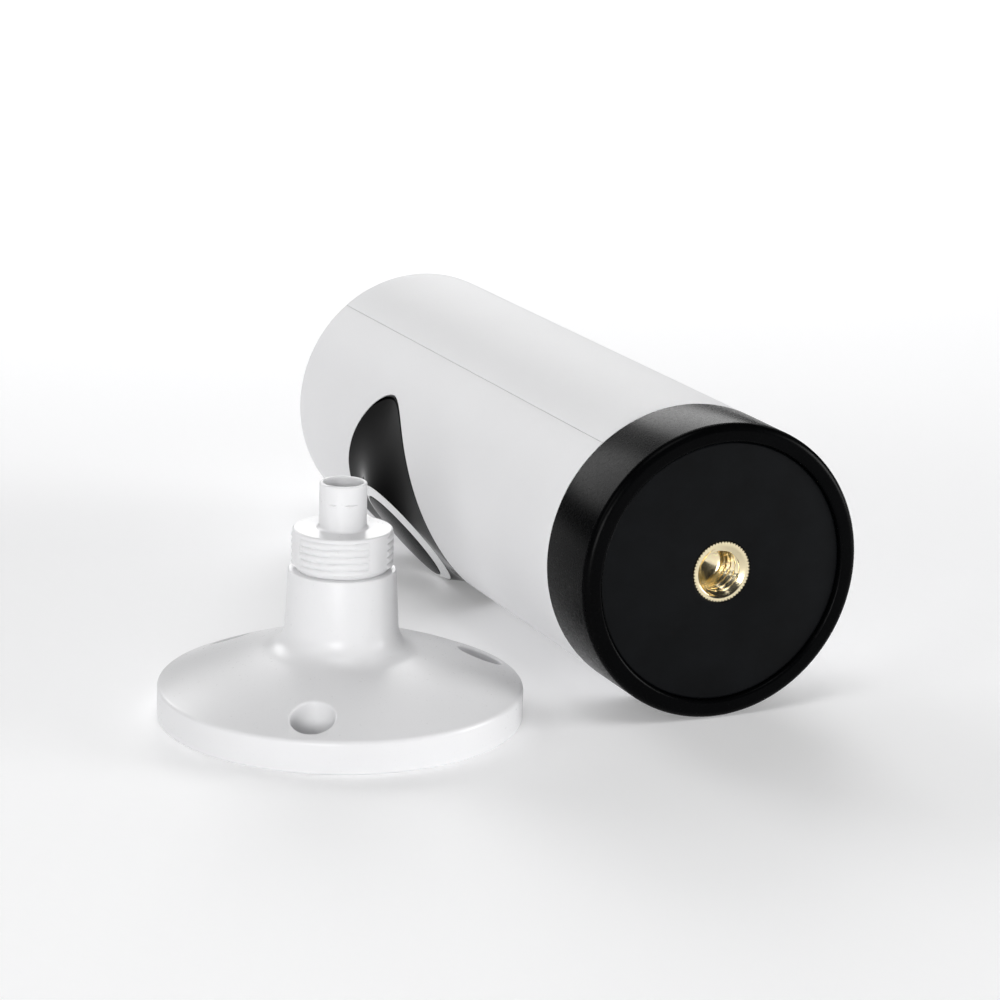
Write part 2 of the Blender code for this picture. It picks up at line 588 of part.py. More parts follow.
def make_chassis(frame, eye, back, black):
    """Foot plate with screw posts, an upright spine, lens posts and board standoffs."""
    foot_r = SHELL_R - GAP - CAP_WALL - GAP
    chassis = place("chassis", rod(foot_r, FOOT_Z, FOOT_Z + FOOT_T, FINE), black, frame)
    low = (-SPINE_W / 2, SPINE_FRONT, FOOT_Z + FOOT_T / 2)
    spine = block(low, (SPINE_W / 2, SPINE_FRONT + SPINE_T, SPINE_TOP))
    join(chassis, place("spine", spine, black, frame))
    post_bottom = FLOOR_BACK + GAP
    for k in range(CAP_SCREWS):
        a = math.pi / 2 + 2 * math.pi * k / CAP_SCREWS
        spot = (CAP_SCREW_RING * math.cos(a), CAP_SCREW_RING * math.sin(a), 0.0)
        post = rod(SCREW_R + 1.9 * MM, post_bottom, FOOT_Z + FOOT_T / 2, TINY)
        join(chassis, place(f"post_{k + 1}", post, black, frame, spot))
        hole = rod(SCREW_R + GAP, post_bottom - MM, FOOT_Z + FOOT_T + MM, TINY)
        cut(chassis, place(f"post_hole_{k + 1}", hole, black, frame, spot))
    reach = SENSOR_BOARD_W / 2 - 2.0 * MM
    post_top = SENSOR_BOARD_FRONT - BOARD_T - GAP
    for x in (-1, 1):
        for y in (-1, 1):
            post = rod(1.6 * MM, -SPINE_FRONT - SPINE_T / 2, post_top, TINY)
            spot = (x * reach, y * reach, 0.0)
            join(chassis, place(f"lens_post_{x}_{y}", post, black, eye, spot))
    for x, y in board_screw_spots():
        standoff = rod(SCREW_R + 1.2 * MM, SPINE_FRONT + SPINE_T / 2, BOARD_BACK - GAP, TINY)
        join(chassis, place(f"standoff_{x:.4f}_{y:.4f}", standoff, black, back, (x, -y, 0.0)))
        hole = rod(SCREW_R + GAP, SPINE_FRONT - MM, BOARD_BACK, TINY)
        cut(chassis, place(f"standoff_hole_{x:.4f}_{y:.4f}", hole, black, back, (x, -y, 0.0)))


def board_screw_spots():
    across = MAIN_W / 2 - SCREW_INSET
    return [(x * across, z) for x in (-1, 1) for z in (MAIN_BOTTOM + SCREW_INSET, MAIN_TOP - SCREW_INSET)]


def make_electronics(back, green, chip, metal, steel, black, plastic):
    """Main board behind the spine with all that it carries, and the speaker above it."""
    middle = -(MAIN_BOTTOM + MAIN_TOP) / 2
    board = slab(MAIN_W, MAIN_TOP - MAIN_BOTTOM, BOARD_BACK, BOARD_BACK + MAIN_T, y=middle)
    board = place("main_board", board, green, back)
    for k, (x, z) in enumerate(board_screw_spots(), start=1):
        hole = rod(SCREW_R + GAP, BOARD_BACK - MM, BOARD_BACK + MAIN_T + MM, TINY)
        cut(board, place(f"board_hole_{k}", hole, green, back, (x, -z, 0.0)))
        top = (x, -z, CHIP_FACE + SCREW_HEAD_H)
        screw_frame = make_frame(f"board_screw_axis_{k}", top, (math.pi, 0, 0), back)
        length = CHIP_FACE + SCREW_HEAD_H - SPINE_FRONT
        make_screw(f"board_screw_{k}", steel, screw_frame, (0.0, 0.0, 0.0), 0.0, length)

    place("processor", slab(CHIP_W, CHIP_W, CHIP_FACE, CHIP_FACE + 1.2 * MM, y=-CHIP_Z), chip, back)
    sink_base = CHIP_FACE + 1.2 * MM + GAP
    sink = slab(CHIP_W, CHIP_W, sink_base, sink_base + SINK_H, y=-CHIP_Z)
    sink = place("heat_sink", sink, metal, back)
    fins = 4
    pitch = CHIP_W / (fins + 0.5)
    for k in range(fins):
        x = (k - (fins - 1) / 2) * pitch
        low, high = sink_base + 1.1 * MM, sink_base + SINK_H + MM
        groove = slab(pitch / 2, CHIP_W + 2 * MM, low, high, x=x, y=-CHIP_Z)
        cut(sink, place(f"sink_groove_{k}", groove, metal, back))
    place("radio_module", slab(13.0 * MM, 9.0 * MM, CHIP_FACE, CHIP_FACE + 2.0 * MM, y=-RADIO_Z), metal, back)

    port = place("power_inlet", slab(PORT_W, PORT_H, CHIP_FACE, INLET_END, y=-PORT_Z), metal, back)
    skin = 0.35 * MM
    mouth = slab(PORT_W - 2 * skin, PORT_H - 2 * skin, INLET_END - 5.0 * MM, INLET_END + MM, y=-PORT_Z)
    cut(port, place("inlet_mouth", mouth, metal, back))
    low, high = INLET_END - 5.5 * MM, INLET_END - 0.8 * MM
    tongue = slab(PORT_W - 3.0 * MM, 0.6 * MM, low, high, y=-PORT_Z + 0.3 * MM)
    join(port, place("inlet_tongue", tongue, metal, back))

    switch_w = 4.4 * MM
    switch = slab(switch_w, switch_w, CHIP_FACE, CHIP_FACE + 3.0 * MM, y=-RESET_Z)
    switch = place("reset_switch", switch, black, back)
    plunger_end = CHIP_FACE + 4.4 * MM
    plunger = rod(0.9 * MM, CHIP_FACE + MM, plunger_end, TINY)
    join(switch, place("switch_plunger", plunger, black, back, (0.0, -RESET_Z, 0.0)))
    tip = plunger_end + GAP + RESET_TRAVEL
    collar_front = math.sqrt(SHELL_R ** 2 - (RESET_R + 1.1 * MM) ** 2) - GAP
    profile = [
        (0.0, tip), (RESET_R - 0.4 * MM, tip), (RESET_R - 0.4 * MM, collar_front - 0.8 * MM),
        (RESET_R + 1.1 * MM, collar_front - 0.8 * MM), (RESET_R + 1.1 * MM, collar_front),
        (RESET_R, collar_front), (RESET_R, BODY_R - 0.3 * MM), (RESET_R - 0.3 * MM, BODY_R), (0.0, BODY_R),
    ]
    button_axis = make_frame("reset_button_axis", (0.0, -RESET_Z, 0.0), parent=back)
    place("reset_button", turned(profile, COARSE), plastic, button_axis)
    place("microphone", rod(MIC_R, CHIP_FACE, CHIP_FACE + 2.2 * MM), metal, back, (0.0, -MIC_Z, 0.0))

    magnet_back = SPINE_FRONT + SPINE_T + GAP
    rim_back = magnet_back + 3.2 * MM
    rim_front = rim_back + 2.6 * MM
    magnet_r = 0.58 * SPEAKER_R
    profile = [
        (0.0, magnet_back), (magnet_r, magnet_back), (magnet_r, rim_back), (SPEAKER_R, rim_back),
        (SPEAKER_R, rim_front), (0.86 * SPEAKER_R, rim_front), (0.45 * SPEAKER_R, rim_front - 1.5 * MM),
        (0.0, rim_front - 0.7 * MM),
    ]
    place("speaker", turned(profile, MEDIUM), black, back, (0.0, -SPEAKER_Z, 0.0))
    antenna = slab(24.0 * MM, 7.0 * MM, -SPINE_FRONT + GAP, -SPINE_FRONT + GAP + 0.6 * MM, y=0.0)
    aerial_frame = make_frame("antenna_frame", (0.0, -SPINE_TOP + 6.0 * MM, 0.0), (0, math.pi, 0), back)
    place("antenna", antenna, green, aerial_frame)


def dome_height(radius):
    return FLANGE_RIM + DOME_RISE * (1 - (radius / FLANGE_R) ** 2)


def make_bracket(frame, white):
    """Screw-down flange with its stem, the threaded collar in it and the stud on top."""
    edge = 0.7 * MM
    lean = 2 * DOME_RISE * STEM_FOOT_R / FLANGE_R ** 2
    foot_z = dome_height(STEM_FOOT_R)
    knee_z = foot_z + lean * (STEM_FOOT_R - STEM_R)
    foot_top = knee_z + STEM_FOOT_H
    profile = [(0.0, 0.0), (FLANGE_R - 0.4 * MM, 0.0), (FLANGE_R, 0.4 * MM)]
    profile += arc((FLANGE_R - edge, FLANGE_RIM - edge * 0.4), edge, 0, 62, 2)
    profile += [(r, dome_height(r)) for r in (0.86 * FLANGE_R, 0.72 * FLANGE_R, 0.58 * FLANGE_R)]
    for k in range(5):
        t = k / 4
        radius = (1 - t) ** 2 * STEM_FOOT_R + 2 * t * (1 - t) * STEM_R + t * t * STEM_R
        height = (1 - t) ** 2 * foot_z + 2 * t * (1 - t) * knee_z + t * t * foot_top
        profile.append((radius, height))
    profile += [(STEM_TOP_R, STEM_TOP - 0.3 * MM), (STEM_TOP_R - 0.3 * MM, STEM_TOP)]
    profile += [(SOCKET_R, STEM_TOP), (SOCKET_R, SOCKET_FLOOR), (0.0, SOCKET_FLOOR)]
    flange = place("bracket_flange", turned(profile, FINE), white, frame)
    for k in range(FLANGE_HOLES):
        a = HOLE_TURN + 2 * math.pi * k / FLANGE_HOLES
        high = dome_height(0.0)
        hole = turned([
            (0.0, -MM), (HOLE_R, -MM), (HOLE_R, COUNTERBORE_FLOOR), (COUNTERBORE_R, COUNTERBORE_FLOOR),
            (COUNTERBORE_R, high), (0.0, high),
        ], COARSE)
        spot = (HOLE_RING * math.cos(a), HOLE_RING * math.sin(a), 0.0)
        cut(flange, place(f"flange_hole_{k + 1}", hole, white, frame, spot))

    shoulder = STEM_TOP + GAP
    peg_r, bore = SOCKET_R - GAP, STUD_R + GAP
    foot = SOCKET_FLOOR + GAP
    profile = [(bore, foot), (peg_r, foot), (peg_r, shoulder), (COLLAR_R, shoulder)]
    first = COLLAR_TOP - 0.5 * MM - THREAD_TURNS * THREAD_PITCH
    for k in range(THREAD_TURNS):
        low = first + k * THREAD_PITCH
        profile.append((COLLAR_R - THREAD_DEPTH, low + 0.2 * THREAD_PITCH))
        profile.append((COLLAR_R, low + 0.7 * THREAD_PITCH))
    profile += [(COLLAR_R - 0.3 * MM, COLLAR_TOP), (bore, COLLAR_TOP)]
    place("bracket_collar", turned(profile, MEDIUM), white, frame)

    bottom = SOCKET_FLOOR + 2 * GAP
    floor = STUD_TOP - STUD_BORE_DEPTH
    profile = [
        (0.0, bottom), (STUD_R, bottom), (STUD_R, STUD_TOP - 0.3 * MM), (STUD_R - 0.3 * MM, STUD_TOP),
        (STUD_BORE_R, STUD_TOP), (STUD_BORE_R, floor), (0.0, floor),
    ]
    place("bracket_stud", turned(profile, MEDIUM), white, frame)


def main():
    for item in list(bpy.data.objects):
        bpy.data.objects.remove(item, do_unlink=True)

    paint = make_material("white_shell", (0.86, 0.86, 0.87), 0.42)
    moulding = make_material("white_bracket", (0.85, 0.85, 0.85), 0.48)
    trim = make_material("white_ring", (0.88, 0.89, 0.90), 0.3)
    cap_black = make_material("black_cap", (0.012, 0.012, 0.014), 0.25)
    rubber = make_material("black_pad", (0.016, 0.016, 0.018), 0.7)
    gloss = make_material("black_gloss", (0.006, 0.006, 0.007), 0.08)
    tinted = make_material("tinted_glass", (0.01, 0.01, 0.012), 0.04)
    brass = make_material("brass", (0.83, 0.66, 0.32), 0.22, 1.0)
    steel = make_material("steel", (0.6, 0.6, 0.62), 0.35, 1.0)
    metal = make_material("plated_metal", (0.72, 0.73, 0.75), 0.3, 1.0)
    black = make_material("black_plastic", (0.03, 0.03, 0.032), 0.5)
    dark = make_material("lens_black", (0.015, 0.015, 0.016), 0.35)
    lens = make_material("lens_glass", (0.12, 0.08, 0.16), 0.02)
    red_glass = make_material("infrared_filter", (0.35, 0.05, 0.08), 0.05)
    clear = make_material("clear_filter", (0.8, 0.85, 0.85), 0.03)
    green = make_material("circuit_board", (0.02, 0.12, 0.05), 0.45)
    chip = make_material("chip", (0.02, 0.02, 0.022), 0.5)
    led = make_material("led", (0.55, 0.55, 0.6), 0.15)
    coil = make_material("filter_motor", (0.05, 0.05, 0.055), 0.5)

    bracket = make_frame("bracket_frame", (0.0, 0.0, 0.0))
    lying = (-math.pi / 2, -math.pi / 2 - EYE_DIP, 0.0)
    camera = make_frame("camera_frame", (CAMERA_X, CAMERA_Y, BODY_R), lying)
    eye = make_frame("eye_frame", (0.0, 0.0, EYE_Z), (math.pi / 2, 0.0, 0.0), camera)
    back = make_frame("back_frame", (0.0, 0.0, 0.0), (-math.pi / 2, 0.0, 0.0), camera)

    make_shells(camera, eye, back, paint)
    make_base(camera, cap_black, rubber, brass, steel)
    make_eye(eye, gloss, trim, tinted)
    make_lens(eye, black, dark, lens, chip, green)
    make_filter(eye, black, red_glass, clear, coil)
    make_lights(eye, green, led, chip)
    make_chassis(camera, eye, back, black)
    make_electronics(back, green, chip, metal, steel, black, paint)
    make_bracket(bracket, moulding)


main()
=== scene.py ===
"""Looks of a small cylindrical security camera that lies on its side beside its wall bracket.

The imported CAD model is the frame. Every piece that shows is rebuilt here with round edges and fine
relief, in the same local frames as the design: the camera's axis is +Z with its base face at z = 0
and its eye towards -Y, and the bracket stands on the origin. Lengths are metres.
"""

import math

import bmesh
import bpy
from mathutils import Euler, Matrix, Vector


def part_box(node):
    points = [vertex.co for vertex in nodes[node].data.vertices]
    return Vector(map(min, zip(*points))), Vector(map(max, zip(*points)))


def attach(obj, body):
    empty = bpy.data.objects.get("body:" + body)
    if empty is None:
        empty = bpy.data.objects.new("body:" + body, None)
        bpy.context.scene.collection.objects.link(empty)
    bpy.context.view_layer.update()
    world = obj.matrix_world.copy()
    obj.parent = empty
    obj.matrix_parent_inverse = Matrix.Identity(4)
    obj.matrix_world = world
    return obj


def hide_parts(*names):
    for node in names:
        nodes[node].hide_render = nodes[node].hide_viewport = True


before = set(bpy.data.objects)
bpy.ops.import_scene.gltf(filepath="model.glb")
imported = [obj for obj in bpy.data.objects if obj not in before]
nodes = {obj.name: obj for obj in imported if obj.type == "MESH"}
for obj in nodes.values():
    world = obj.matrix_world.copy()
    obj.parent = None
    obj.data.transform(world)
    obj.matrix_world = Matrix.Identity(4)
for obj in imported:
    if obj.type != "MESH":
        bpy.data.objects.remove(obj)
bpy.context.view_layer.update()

MM = 0.001

# ---- sizes of the design ------------------------------------------------------------------------
EYE_DIP = math.radians(38.5)
FLANGE_R = 25.2 * MM
SIDE_GAP = 2.3 * MM
BODY_R = 21.0 * MM
BODY_L = 110.7 * MM
SHELL_WALL = 1.8 * MM
TOP_WALL = 2.0 * MM
CAP_L = 12.4 * MM
CAP_RIM = 2.6 * MM
PAD_STEP = 0.6 * MM
INSERT_R = 4.35 * MM
INSERT_MOUTH_R = 3.65 * MM
INSERT_BORE_R = 3.05 * MM
INSERT_L = 8.6 * MM
INSERT_DEPTH = 6.6 * MM
EYE_Z = 74.8 * MM
EYE_TURN = math.radians(65.4)
EYE_UP = 16.6 * MM
EYE_DOWN = 18.6 * MM
EYE_UP_POWER = 2.0
EYE_DOWN_POWER = 1.72
BEZEL_BULGE = 1.03
GLASS_R = 8.2 * MM
GLASS_T = 1.3 * MM
RING_W = 1.4 * MM
RING_RISE = 0.8 * MM
RING_DEPTH = 1.9 * MM
RING_STAND = 1.89 * MM
STEM_R = 7.8 * MM
STEM_TOP_R = 7.4 * MM
STEM_TOP = 20.95 * MM
STEM_FOOT_W = 3.2 * MM
STEM_FOOT_H = 3.4 * MM
FLANGE_RIM = 4.4 * MM
DOME_RISE = 6.15 * MM
HOLE_INSET = 4.5 * MM
HOLE_R = 2.1 * MM
COUNTERBORE_R = 3.0 * MM
COUNTERBORE_FLOOR = 2.6 * MM
HOLE_TURN = math.radians(238.8)
FLANGE_HOLES = 3
COLLAR_TOP = 26.65 * MM
COLLAR_R = 7.0 * MM
THREAD_PITCH = 0.95 * MM
THREAD_TURNS = 5
STUD_R = 3.25 * MM
STUD_WALL = 0.55 * MM
STUD_TOP = 33.05 * MM
STUD_BORE_DEPTH = 4.5 * MM
SOCKET_R = 5.8 * MM
SOCKET_FLOOR = 12.0 * MM
PORT_Z = 25.0 * MM
PORT_W, PORT_H = 7.6 * MM, 2.8 * MM
RESET_Z = 35.0 * MM
RESET_R = 1.5 * MM
MIC_Z = 43.0 * MM
SPEAKER_Z = 93.0 * MM
GRILLE_SLOTS = 5
GRILLE_PITCH = 2.6 * MM
GRILLE_SLOT_H = 1.2 * MM
GRILLE_R = 7.5 * MM

# ---- finish of the visible pieces ---------------------------------------------------------------
SHADOW_GAP = 0.07 * MM             # seen gap between two casing pieces
SOFT_EDGE = 0.07 * MM              # rounding of moulded edges along a seam
TOP_ROUND = 0.45 * MM              # rounding of the casing's far end
MARK_DEPTH = 0.2 * MM              # moulding marks in the stud
MARK_DROP = 2.6 * MM               # from the stud's top down to the marks
STUD_MARKS = ((math.radians(223.0), 1.2 * MM), (math.radians(270.0), 2.0 * MM))   # heading, width
PLAIN_BANDS = tuple(math.radians(a) for a in (295.8, 175.8, 55.8))                # no thread here
BAND_HALF = math.radians(16)       # half the width of a plain band
KNURL_TEETH = 56
KNURL_CUT = 0.3 * MM
TRIPOD_PITCH = 1.27 * MM           # 20 turns an inch
QUARTER = 96                       # facets of a quarter turn of the large round pieces
ROUND, SMALL = 192, 96             # facets of middle-sized and small round pieces

# ---- picture ------------------------------------------------------------------------------------
VIEW_HEADING = math.radians(24.167)
VIEW_PITCH = math.radians(74.977)
VIEW_ROLL = math.radians(1.582)
VIEW_SPOT = (-0.15097, -0.38839, 0.14275)
VIEW_LENS = 114.37                 # mm, on a sensor of 36 mm
FLOOR_HALF = 40.0                  # half of the floor's side
FLOOR_SHADE_STRETCH = (-0.2, 0.8)           # stretch of the floor's painted shade, along the view from the origin
FLOOR_SHADE_TONES = ((0.28, 0.86), (0.42, 0.92))    # share of that stretch, tone of the painted shade
FLOOR_GLOW = 0.25                  # painted glow: light the floor itself gives off, near the object
FAR_GLOW = 1.1                     # the same painted glow beyond the lights, so that low views end in white
GLOW_CHANGE = (0.9, 1.5)           # distances from the origin between which the first turns into the second
LIGHT_REACH = 1.1                  # from the object to each soft light
LIGHT_SIDE = 0.45                  # side of each soft light
SKY_LIGHT = 0.02
SOFT_LIGHTS = (                    # watts, degrees right of the camera, degrees above the floor
    ("front_soft", 8.6, -8, 4), ("top_soft", 2.4, 0, 70), ("right_low", 7.7, 90, 8),
    ("left_high", 1.4, -45, 30), ("back_low", 3.0, 180, 25), ("back_high", 1.0, 180, 55),
    ("back_left", 3.2, -135, 25),
)

# ---- worked-out sizes ---------------------------------------------------------------------------
CAMERA_X = FLANGE_R + SIDE_GAP + BODY_R
CAMERA_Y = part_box("base_cap")[0].y
SHELL_R = BODY_R - SHELL_WALL
SHELL_BOTTOM = CAP_L + SHADOW_GAP
PAD_R = BODY_R - CAP_RIM
EYE_HALF_W = BODY_R * math.sin(EYE_TURN)
RING_R = GLASS_R + 0.3 * MM + RING_W
RING_EDGE = math.sqrt((BODY_R + RING_STAND) ** 2 - (RING_R + 0.3 * MM) ** 2)
GLASS_FRONT = RING_EDGE + RING_RISE
HOLE_RING = FLANGE_R - HOLE_INSET

CAMERA = Matrix.Translation((CAMERA_X, CAMERA_Y, BODY_R))
CAMERA = CAMERA @ Euler((-math.pi / 2, -math.pi / 2 - EYE_DIP, 0.0)).to_matrix().to_4x4()
EYE = CAMERA @ Matrix.Translation((0.0, 0.0, EYE_Z)) @ Matrix.Rotation(math.pi / 2, 4, "X")
BACK = CAMERA @ Matrix.Rotation(-math.pi / 2, 4, "X")
BRACKET = Matrix.Identity(4)       # the bracket stands on the origin


# ---- mesh tools ---------------------------------------------------------------------------------
def turn(facets):
    """Angles of an even turn."""
    return [2 * math.pi * k / facets for k in range(facets)]


def ring(radius, height, facets):
    """Level circle about Z."""
    return [(radius * math.cos(a), radius * math.sin(a), height) for a in turn(facets)]


def rounded(corners, steps=6):
    """Closed outline whose corners (x, y, radius) are turned into arcs where the radius isn't 0."""
    points = []
    for k, (x, y, radius) in enumerate(corners):
        here = Vector((x, y))
        if radius == 0.0:
            points.append((x, y))
            continue
        before = (Vector(corners[k - 1][:2]) - here).normalized()
        after = (Vector(corners[(k + 1) % len(corners)][:2]) - here).normalized()
        half = before.angle(after) / 2
        centre = here + (before + after).normalized() * radius / math.sin(half)
        spoke = here + before * radius / math.tan(half) - centre
        side = 1 if before.cross(after) < 0 else -1
        for s in range(steps + 1):
            a = side * (math.pi - 2 * half) * s / steps
            x_turned = spoke.x * math.cos(a) - spoke.y * math.sin(a)
            y_turned = spoke.x * math.sin(a) + spoke.y * math.cos(a)
            points.append((centre.x + x_turned, centre.y + y_turned))
    return points


def loft(loops, closed=False):
    """Faces between successive loops of points; a loop of one point is a pole."""
    bm = bmesh.new()
    rows = []
    count = max(len(loop) for loop in loops)
    for loop in loops:
        row = [bm.verts.new(point) for point in loop]
        rows.append(row * count if len(row) == 1 else row)
    pairs = list(zip(rows, rows[1:]))
    if closed:
        pairs.append((rows[-1], rows[0]))
    for lower, upper in pairs:
        for k in range(count):
            after = (k + 1) % count
            corners = dict.fromkeys((lower[k], lower[after], upper[after], upper[k]))
            if len(corners) > 2:
                bm.faces.new(corners)
    return bm


def skin(bm, rows, closed=False):
    """Faces between successive rows of vertices."""
    for lower, upper in zip(rows, rows[1:]):
        count = len(lower)
        for k in range(count if closed else count - 1):
            after = (k + 1) % count
            bm.faces.new((lower[k], lower[after], upper[after], upper[k]))


def lathe(profile, facets):
    """Solid turned about Z from a closed outline of (radius, height) points."""
    loops = [ring(r, z, facets) if r > 1e-9 else [(0.0, 0.0, z)] for r, z in profile]
    return loft(loops, closed=profile[0][0] > 1e-9 or profile[-1][0] > 1e-9)


def to_object(name, bm, place):
    """Object with this mesh, placed by a matrix."""
    bmesh.ops.remove_doubles(bm, verts=bm.verts, dist=1e-7)
    bmesh.ops.recalc_face_normals(bm, faces=bm.faces)
    mesh = bpy.data.meshes.new(name)
    bm.to_mesh(mesh)
    bm.free()
    item = bpy.data.objects.new(name, mesh)
    bpy.context.scene.collection.objects.link(item)
    item.matrix_world = place
    return item


def settle(item):
    """Turn the object's modifiers into its own mesh."""
    graph = bpy.context.evaluated_depsgraph_get()
    mesh = bpy.data.meshes.new_from_object(item.evaluated_get(graph))
    item.modifiers.clear()
    item.data = mesh


def soften(item, width):
    """Round the sharp edges."""
    bevel = item.modifiers.new("soft_edges", "BEVEL")
    bevel.width = width
    bevel.segments = 3
    bevel.limit_method = "ANGLE"
    bevel.angle_limit = math.radians(50)
    settle(item)


def carve(item, *cutters):
    """Take the cutters out of the item, and remove them."""
    for cutter in cutters:
        step = item.modifiers.new("carve", "BOOLEAN")
        step.operation = "DIFFERENCE"
        step.solver = "EXACT"
        step.object = cutter
    settle(item)
    for cutter in cutters:
        bpy.data.objects.remove(cutter)


def show(item, material, body, stands_for, sharp=32):
    """Give a finished piece its shading, material and place in the frame."""
    item.data.transform(item.matrix_world)
    item.matrix_world = Matrix.Identity(4)
    item.data.shade_smooth()
    item.data.set_sharp_from_angle(angle=math.radians(sharp))
    item.data.materials.clear()
    item.data.materials.append(material)
    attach(item, body)
    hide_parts(*stands_for)


# ---- materials ----------------------------------------------------------------------------------
def procedural(name, colour, roughness, metallic=0.0, patch=12 * MM, shift=0.05, grain=0.35 * MM,
               relief=0.004 * MM, rough_shift=0.06, stretch=(1.0, 1.0, 1.0), shine=0.5):
    """Principled material whose colour, roughness and relief vary with noise at real sizes."""
    material = bpy.data.materials.new(name)
    material.use_nodes = True
    tree = material.node_tree
    shader = tree.nodes["Principled BSDF"]
    shader.inputs["Metallic"].default_value = metallic
    shader.inputs["Specular IOR Level"].default_value = shine

    place = tree.nodes.new("ShaderNodeTexCoord")
    scale = tree.nodes.new("ShaderNodeMapping")
    scale.inputs["Scale"].default_value = stretch
    tree.links.new(place.outputs["Object"], scale.inputs["Vector"])

    broad = tree.nodes.new("ShaderNodeTexNoise")
    broad.inputs["Scale"].default_value = 1 / patch
    broad.inputs["Detail"].default_value = 3.0
    fine = tree.nodes.new("ShaderNodeTexNoise")
    fine.inputs["Scale"].default_value = 1 / grain
    fine.inputs["Detail"].default_value = 4.0
    tree.links.new(scale.outputs["Vector"], broad.inputs["Vector"])
    tree.links.new(scale.outputs["Vector"], fine.inputs["Vector"])

    tone = tree.nodes.new("ShaderNodeValToRGB")
    tone.color_ramp.elements[0].position = 0.3
    tone.color_ramp.elements[1].position = 0.7
    tone.color_ramp.elements[0].color = (*[c * (1 - shift) for c in colour], 1.0)
    tone.color_ramp.elements[1].color = (*[min(1.0, c * (1 + shift)) for c in colour], 1.0)
    tree.links.new(broad.outputs["Fac"], tone.inputs["Fac"])
    tree.links.new(tone.outputs["Color"], shader.inputs["Base Color"])

    gloss = tree.nodes.new("ShaderNodeMapRange")
    gloss.inputs["From Min"].default_value = 0.3
    gloss.inputs["From Max"].default_value = 0.7
    gloss.inputs["To Min"].default_value = max(0.0, roughness - rough_shift)
    gloss.inputs["To Max"].default_value = roughness + rough_shift
    tree.links.new(fine.outputs["Fac"], gloss.inputs["Value"])
    tree.links.new(gloss.outputs["Result"], shader.inputs["Roughness"])

    bump = tree.nodes.new("ShaderNodeBump")
    bump.inputs["Strength"].default_value = 1.0
    bump.inputs["Distance"].default_value = relief
    tree.links.new(fine.outputs["Fac"], bump.inputs["Height"])
    tree.links.new(bump.outputs["Normal"], shader.inputs["Normal"])
    return material


def see_through(material, share, index):
    """Let this share of the light through, at this index of refraction."""
    shader = material.node_tree.nodes["Principled BSDF"]
    shader.inputs["Transmission Weight"].default_value = share
    shader.inputs["IOR"].default_value = index


def board_material(name, colour, trace):
    """Printed board: solder mask with a net of tracks a little lighter than the mask."""
    material = procedural(name, colour, 0.38, patch=9 * MM, shift=0.12, relief=0.003 * MM)
    tree = material.node_tree
    shader = tree.nodes["Principled BSDF"]
    place = tree.nodes["Texture Coordinate"]
    cells = tree.nodes.new("ShaderNodeTexVoronoi")
    cells.feature = "DISTANCE_TO_EDGE"
    cells.inputs["Scale"].default_value = 1 / (2.2 * MM)
    tree.links.new(place.outputs["Object"], cells.inputs["Vector"])
    line = tree.nodes.new("ShaderNodeValToRGB")
    line.color_ramp.elements[0].position = 0.04
    line.color_ramp.elements[0].color = (1.0, 1.0, 1.0, 1.0)
    line.color_ramp.elements[1].position = 0.08
    line.color_ramp.elements[1].color = (0.0, 0.0, 0.0, 1.0)
    tree.links.new(cells.outputs["Distance"], line.inputs["Fac"])
    mix = tree.nodes.new("ShaderNodeMix")
    mix.data_type = "RGBA"
    mix.inputs["B"].default_value = (*trace, 1.0)
    base = shader.inputs["Base Color"].links[0].from_socket
    tree.links.new(line.outputs["Color"], mix.inputs["Factor"])
    tree.links.new(base, mix.inputs["A"])
    tree.links.new(mix.outputs["Result"], shader.inputs["Base Color"])
    return material


shell_white = procedural("shell_white", (0.82, 0.82, 0.83), 0.55, patch=30 * MM, shift=0.012,
                         grain=0.5 * MM, relief=0.003 * MM, rough_shift=0.06, shine=0.3)
bracket_white = procedural("bracket_white", (0.80, 0.80, 0.81), 0.33, patch=18 * MM, shift=0.015,
                           grain=0.4 * MM, relief=0.003 * MM, rough_shift=0.06, shine=0.4)
ring_white = procedural("ring_white", (0.86, 0.865, 0.87), 0.24, patch=6 * MM, shift=0.02,
                        grain=0.4 * MM, relief=0.001 * MM, rough_shift=0.04)
cap_black = procedural("cap_black", (0.0012, 0.0013, 0.0015), 0.27, patch=6 * MM, shift=0.2,
                       grain=0.5 * MM, relief=0.0006 * MM, rough_shift=0.03, shine=0.03)
pad_black = procedural("pad_black", (0.0022, 0.0026, 0.0032), 0.46, patch=5 * MM, shift=0.3,
                       grain=0.5 * MM, relief=0.01 * MM, rough_shift=0.08, shine=0.09)
gloss_black = procedural("gloss_black", (0.0008, 0.0008, 0.0009), 0.08, patch=10 * MM, shift=0.2,
                         grain=1.2 * MM, relief=0.0005 * MM, rough_shift=0.03, shine=0.02)
glass_dark = procedural("glass_dark", (0.02, 0.02, 0.022), 0.03, patch=8 * MM, shift=0.05,
                        grain=1.5 * MM, relief=0.0002 * MM, rough_shift=0.01, shine=0.2)
see_through(glass_dark, 1.0, 1.03)
brass_gold = procedural("brass_gold", (0.96, 0.84, 0.56), 0.17, metallic=1.0, patch=1.5 * MM, shift=0.04,
                        grain=0.3 * MM, relief=0.0008 * MM, rough_shift=0.05)
steel_grey = procedural("steel_grey", (0.55, 0.56, 0.58), 0.33, metallic=1.0, patch=1 * MM, shift=0.1,
                        grain=0.25 * MM, relief=0.004 * MM)
plated = procedural("plated", (0.72, 0.73, 0.75), 0.27, metallic=1.0, patch=2 * MM, shift=0.06,
                    grain=0.3 * MM, relief=0.002 * MM)
sink_grey = procedural("sink_grey", (0.42, 0.43, 0.45), 0.4, metallic=1.0, patch=3 * MM, shift=0.08,
                       grain=0.2 * MM, relief=0.006 * MM, stretch=(1.0, 6.0, 1.0))
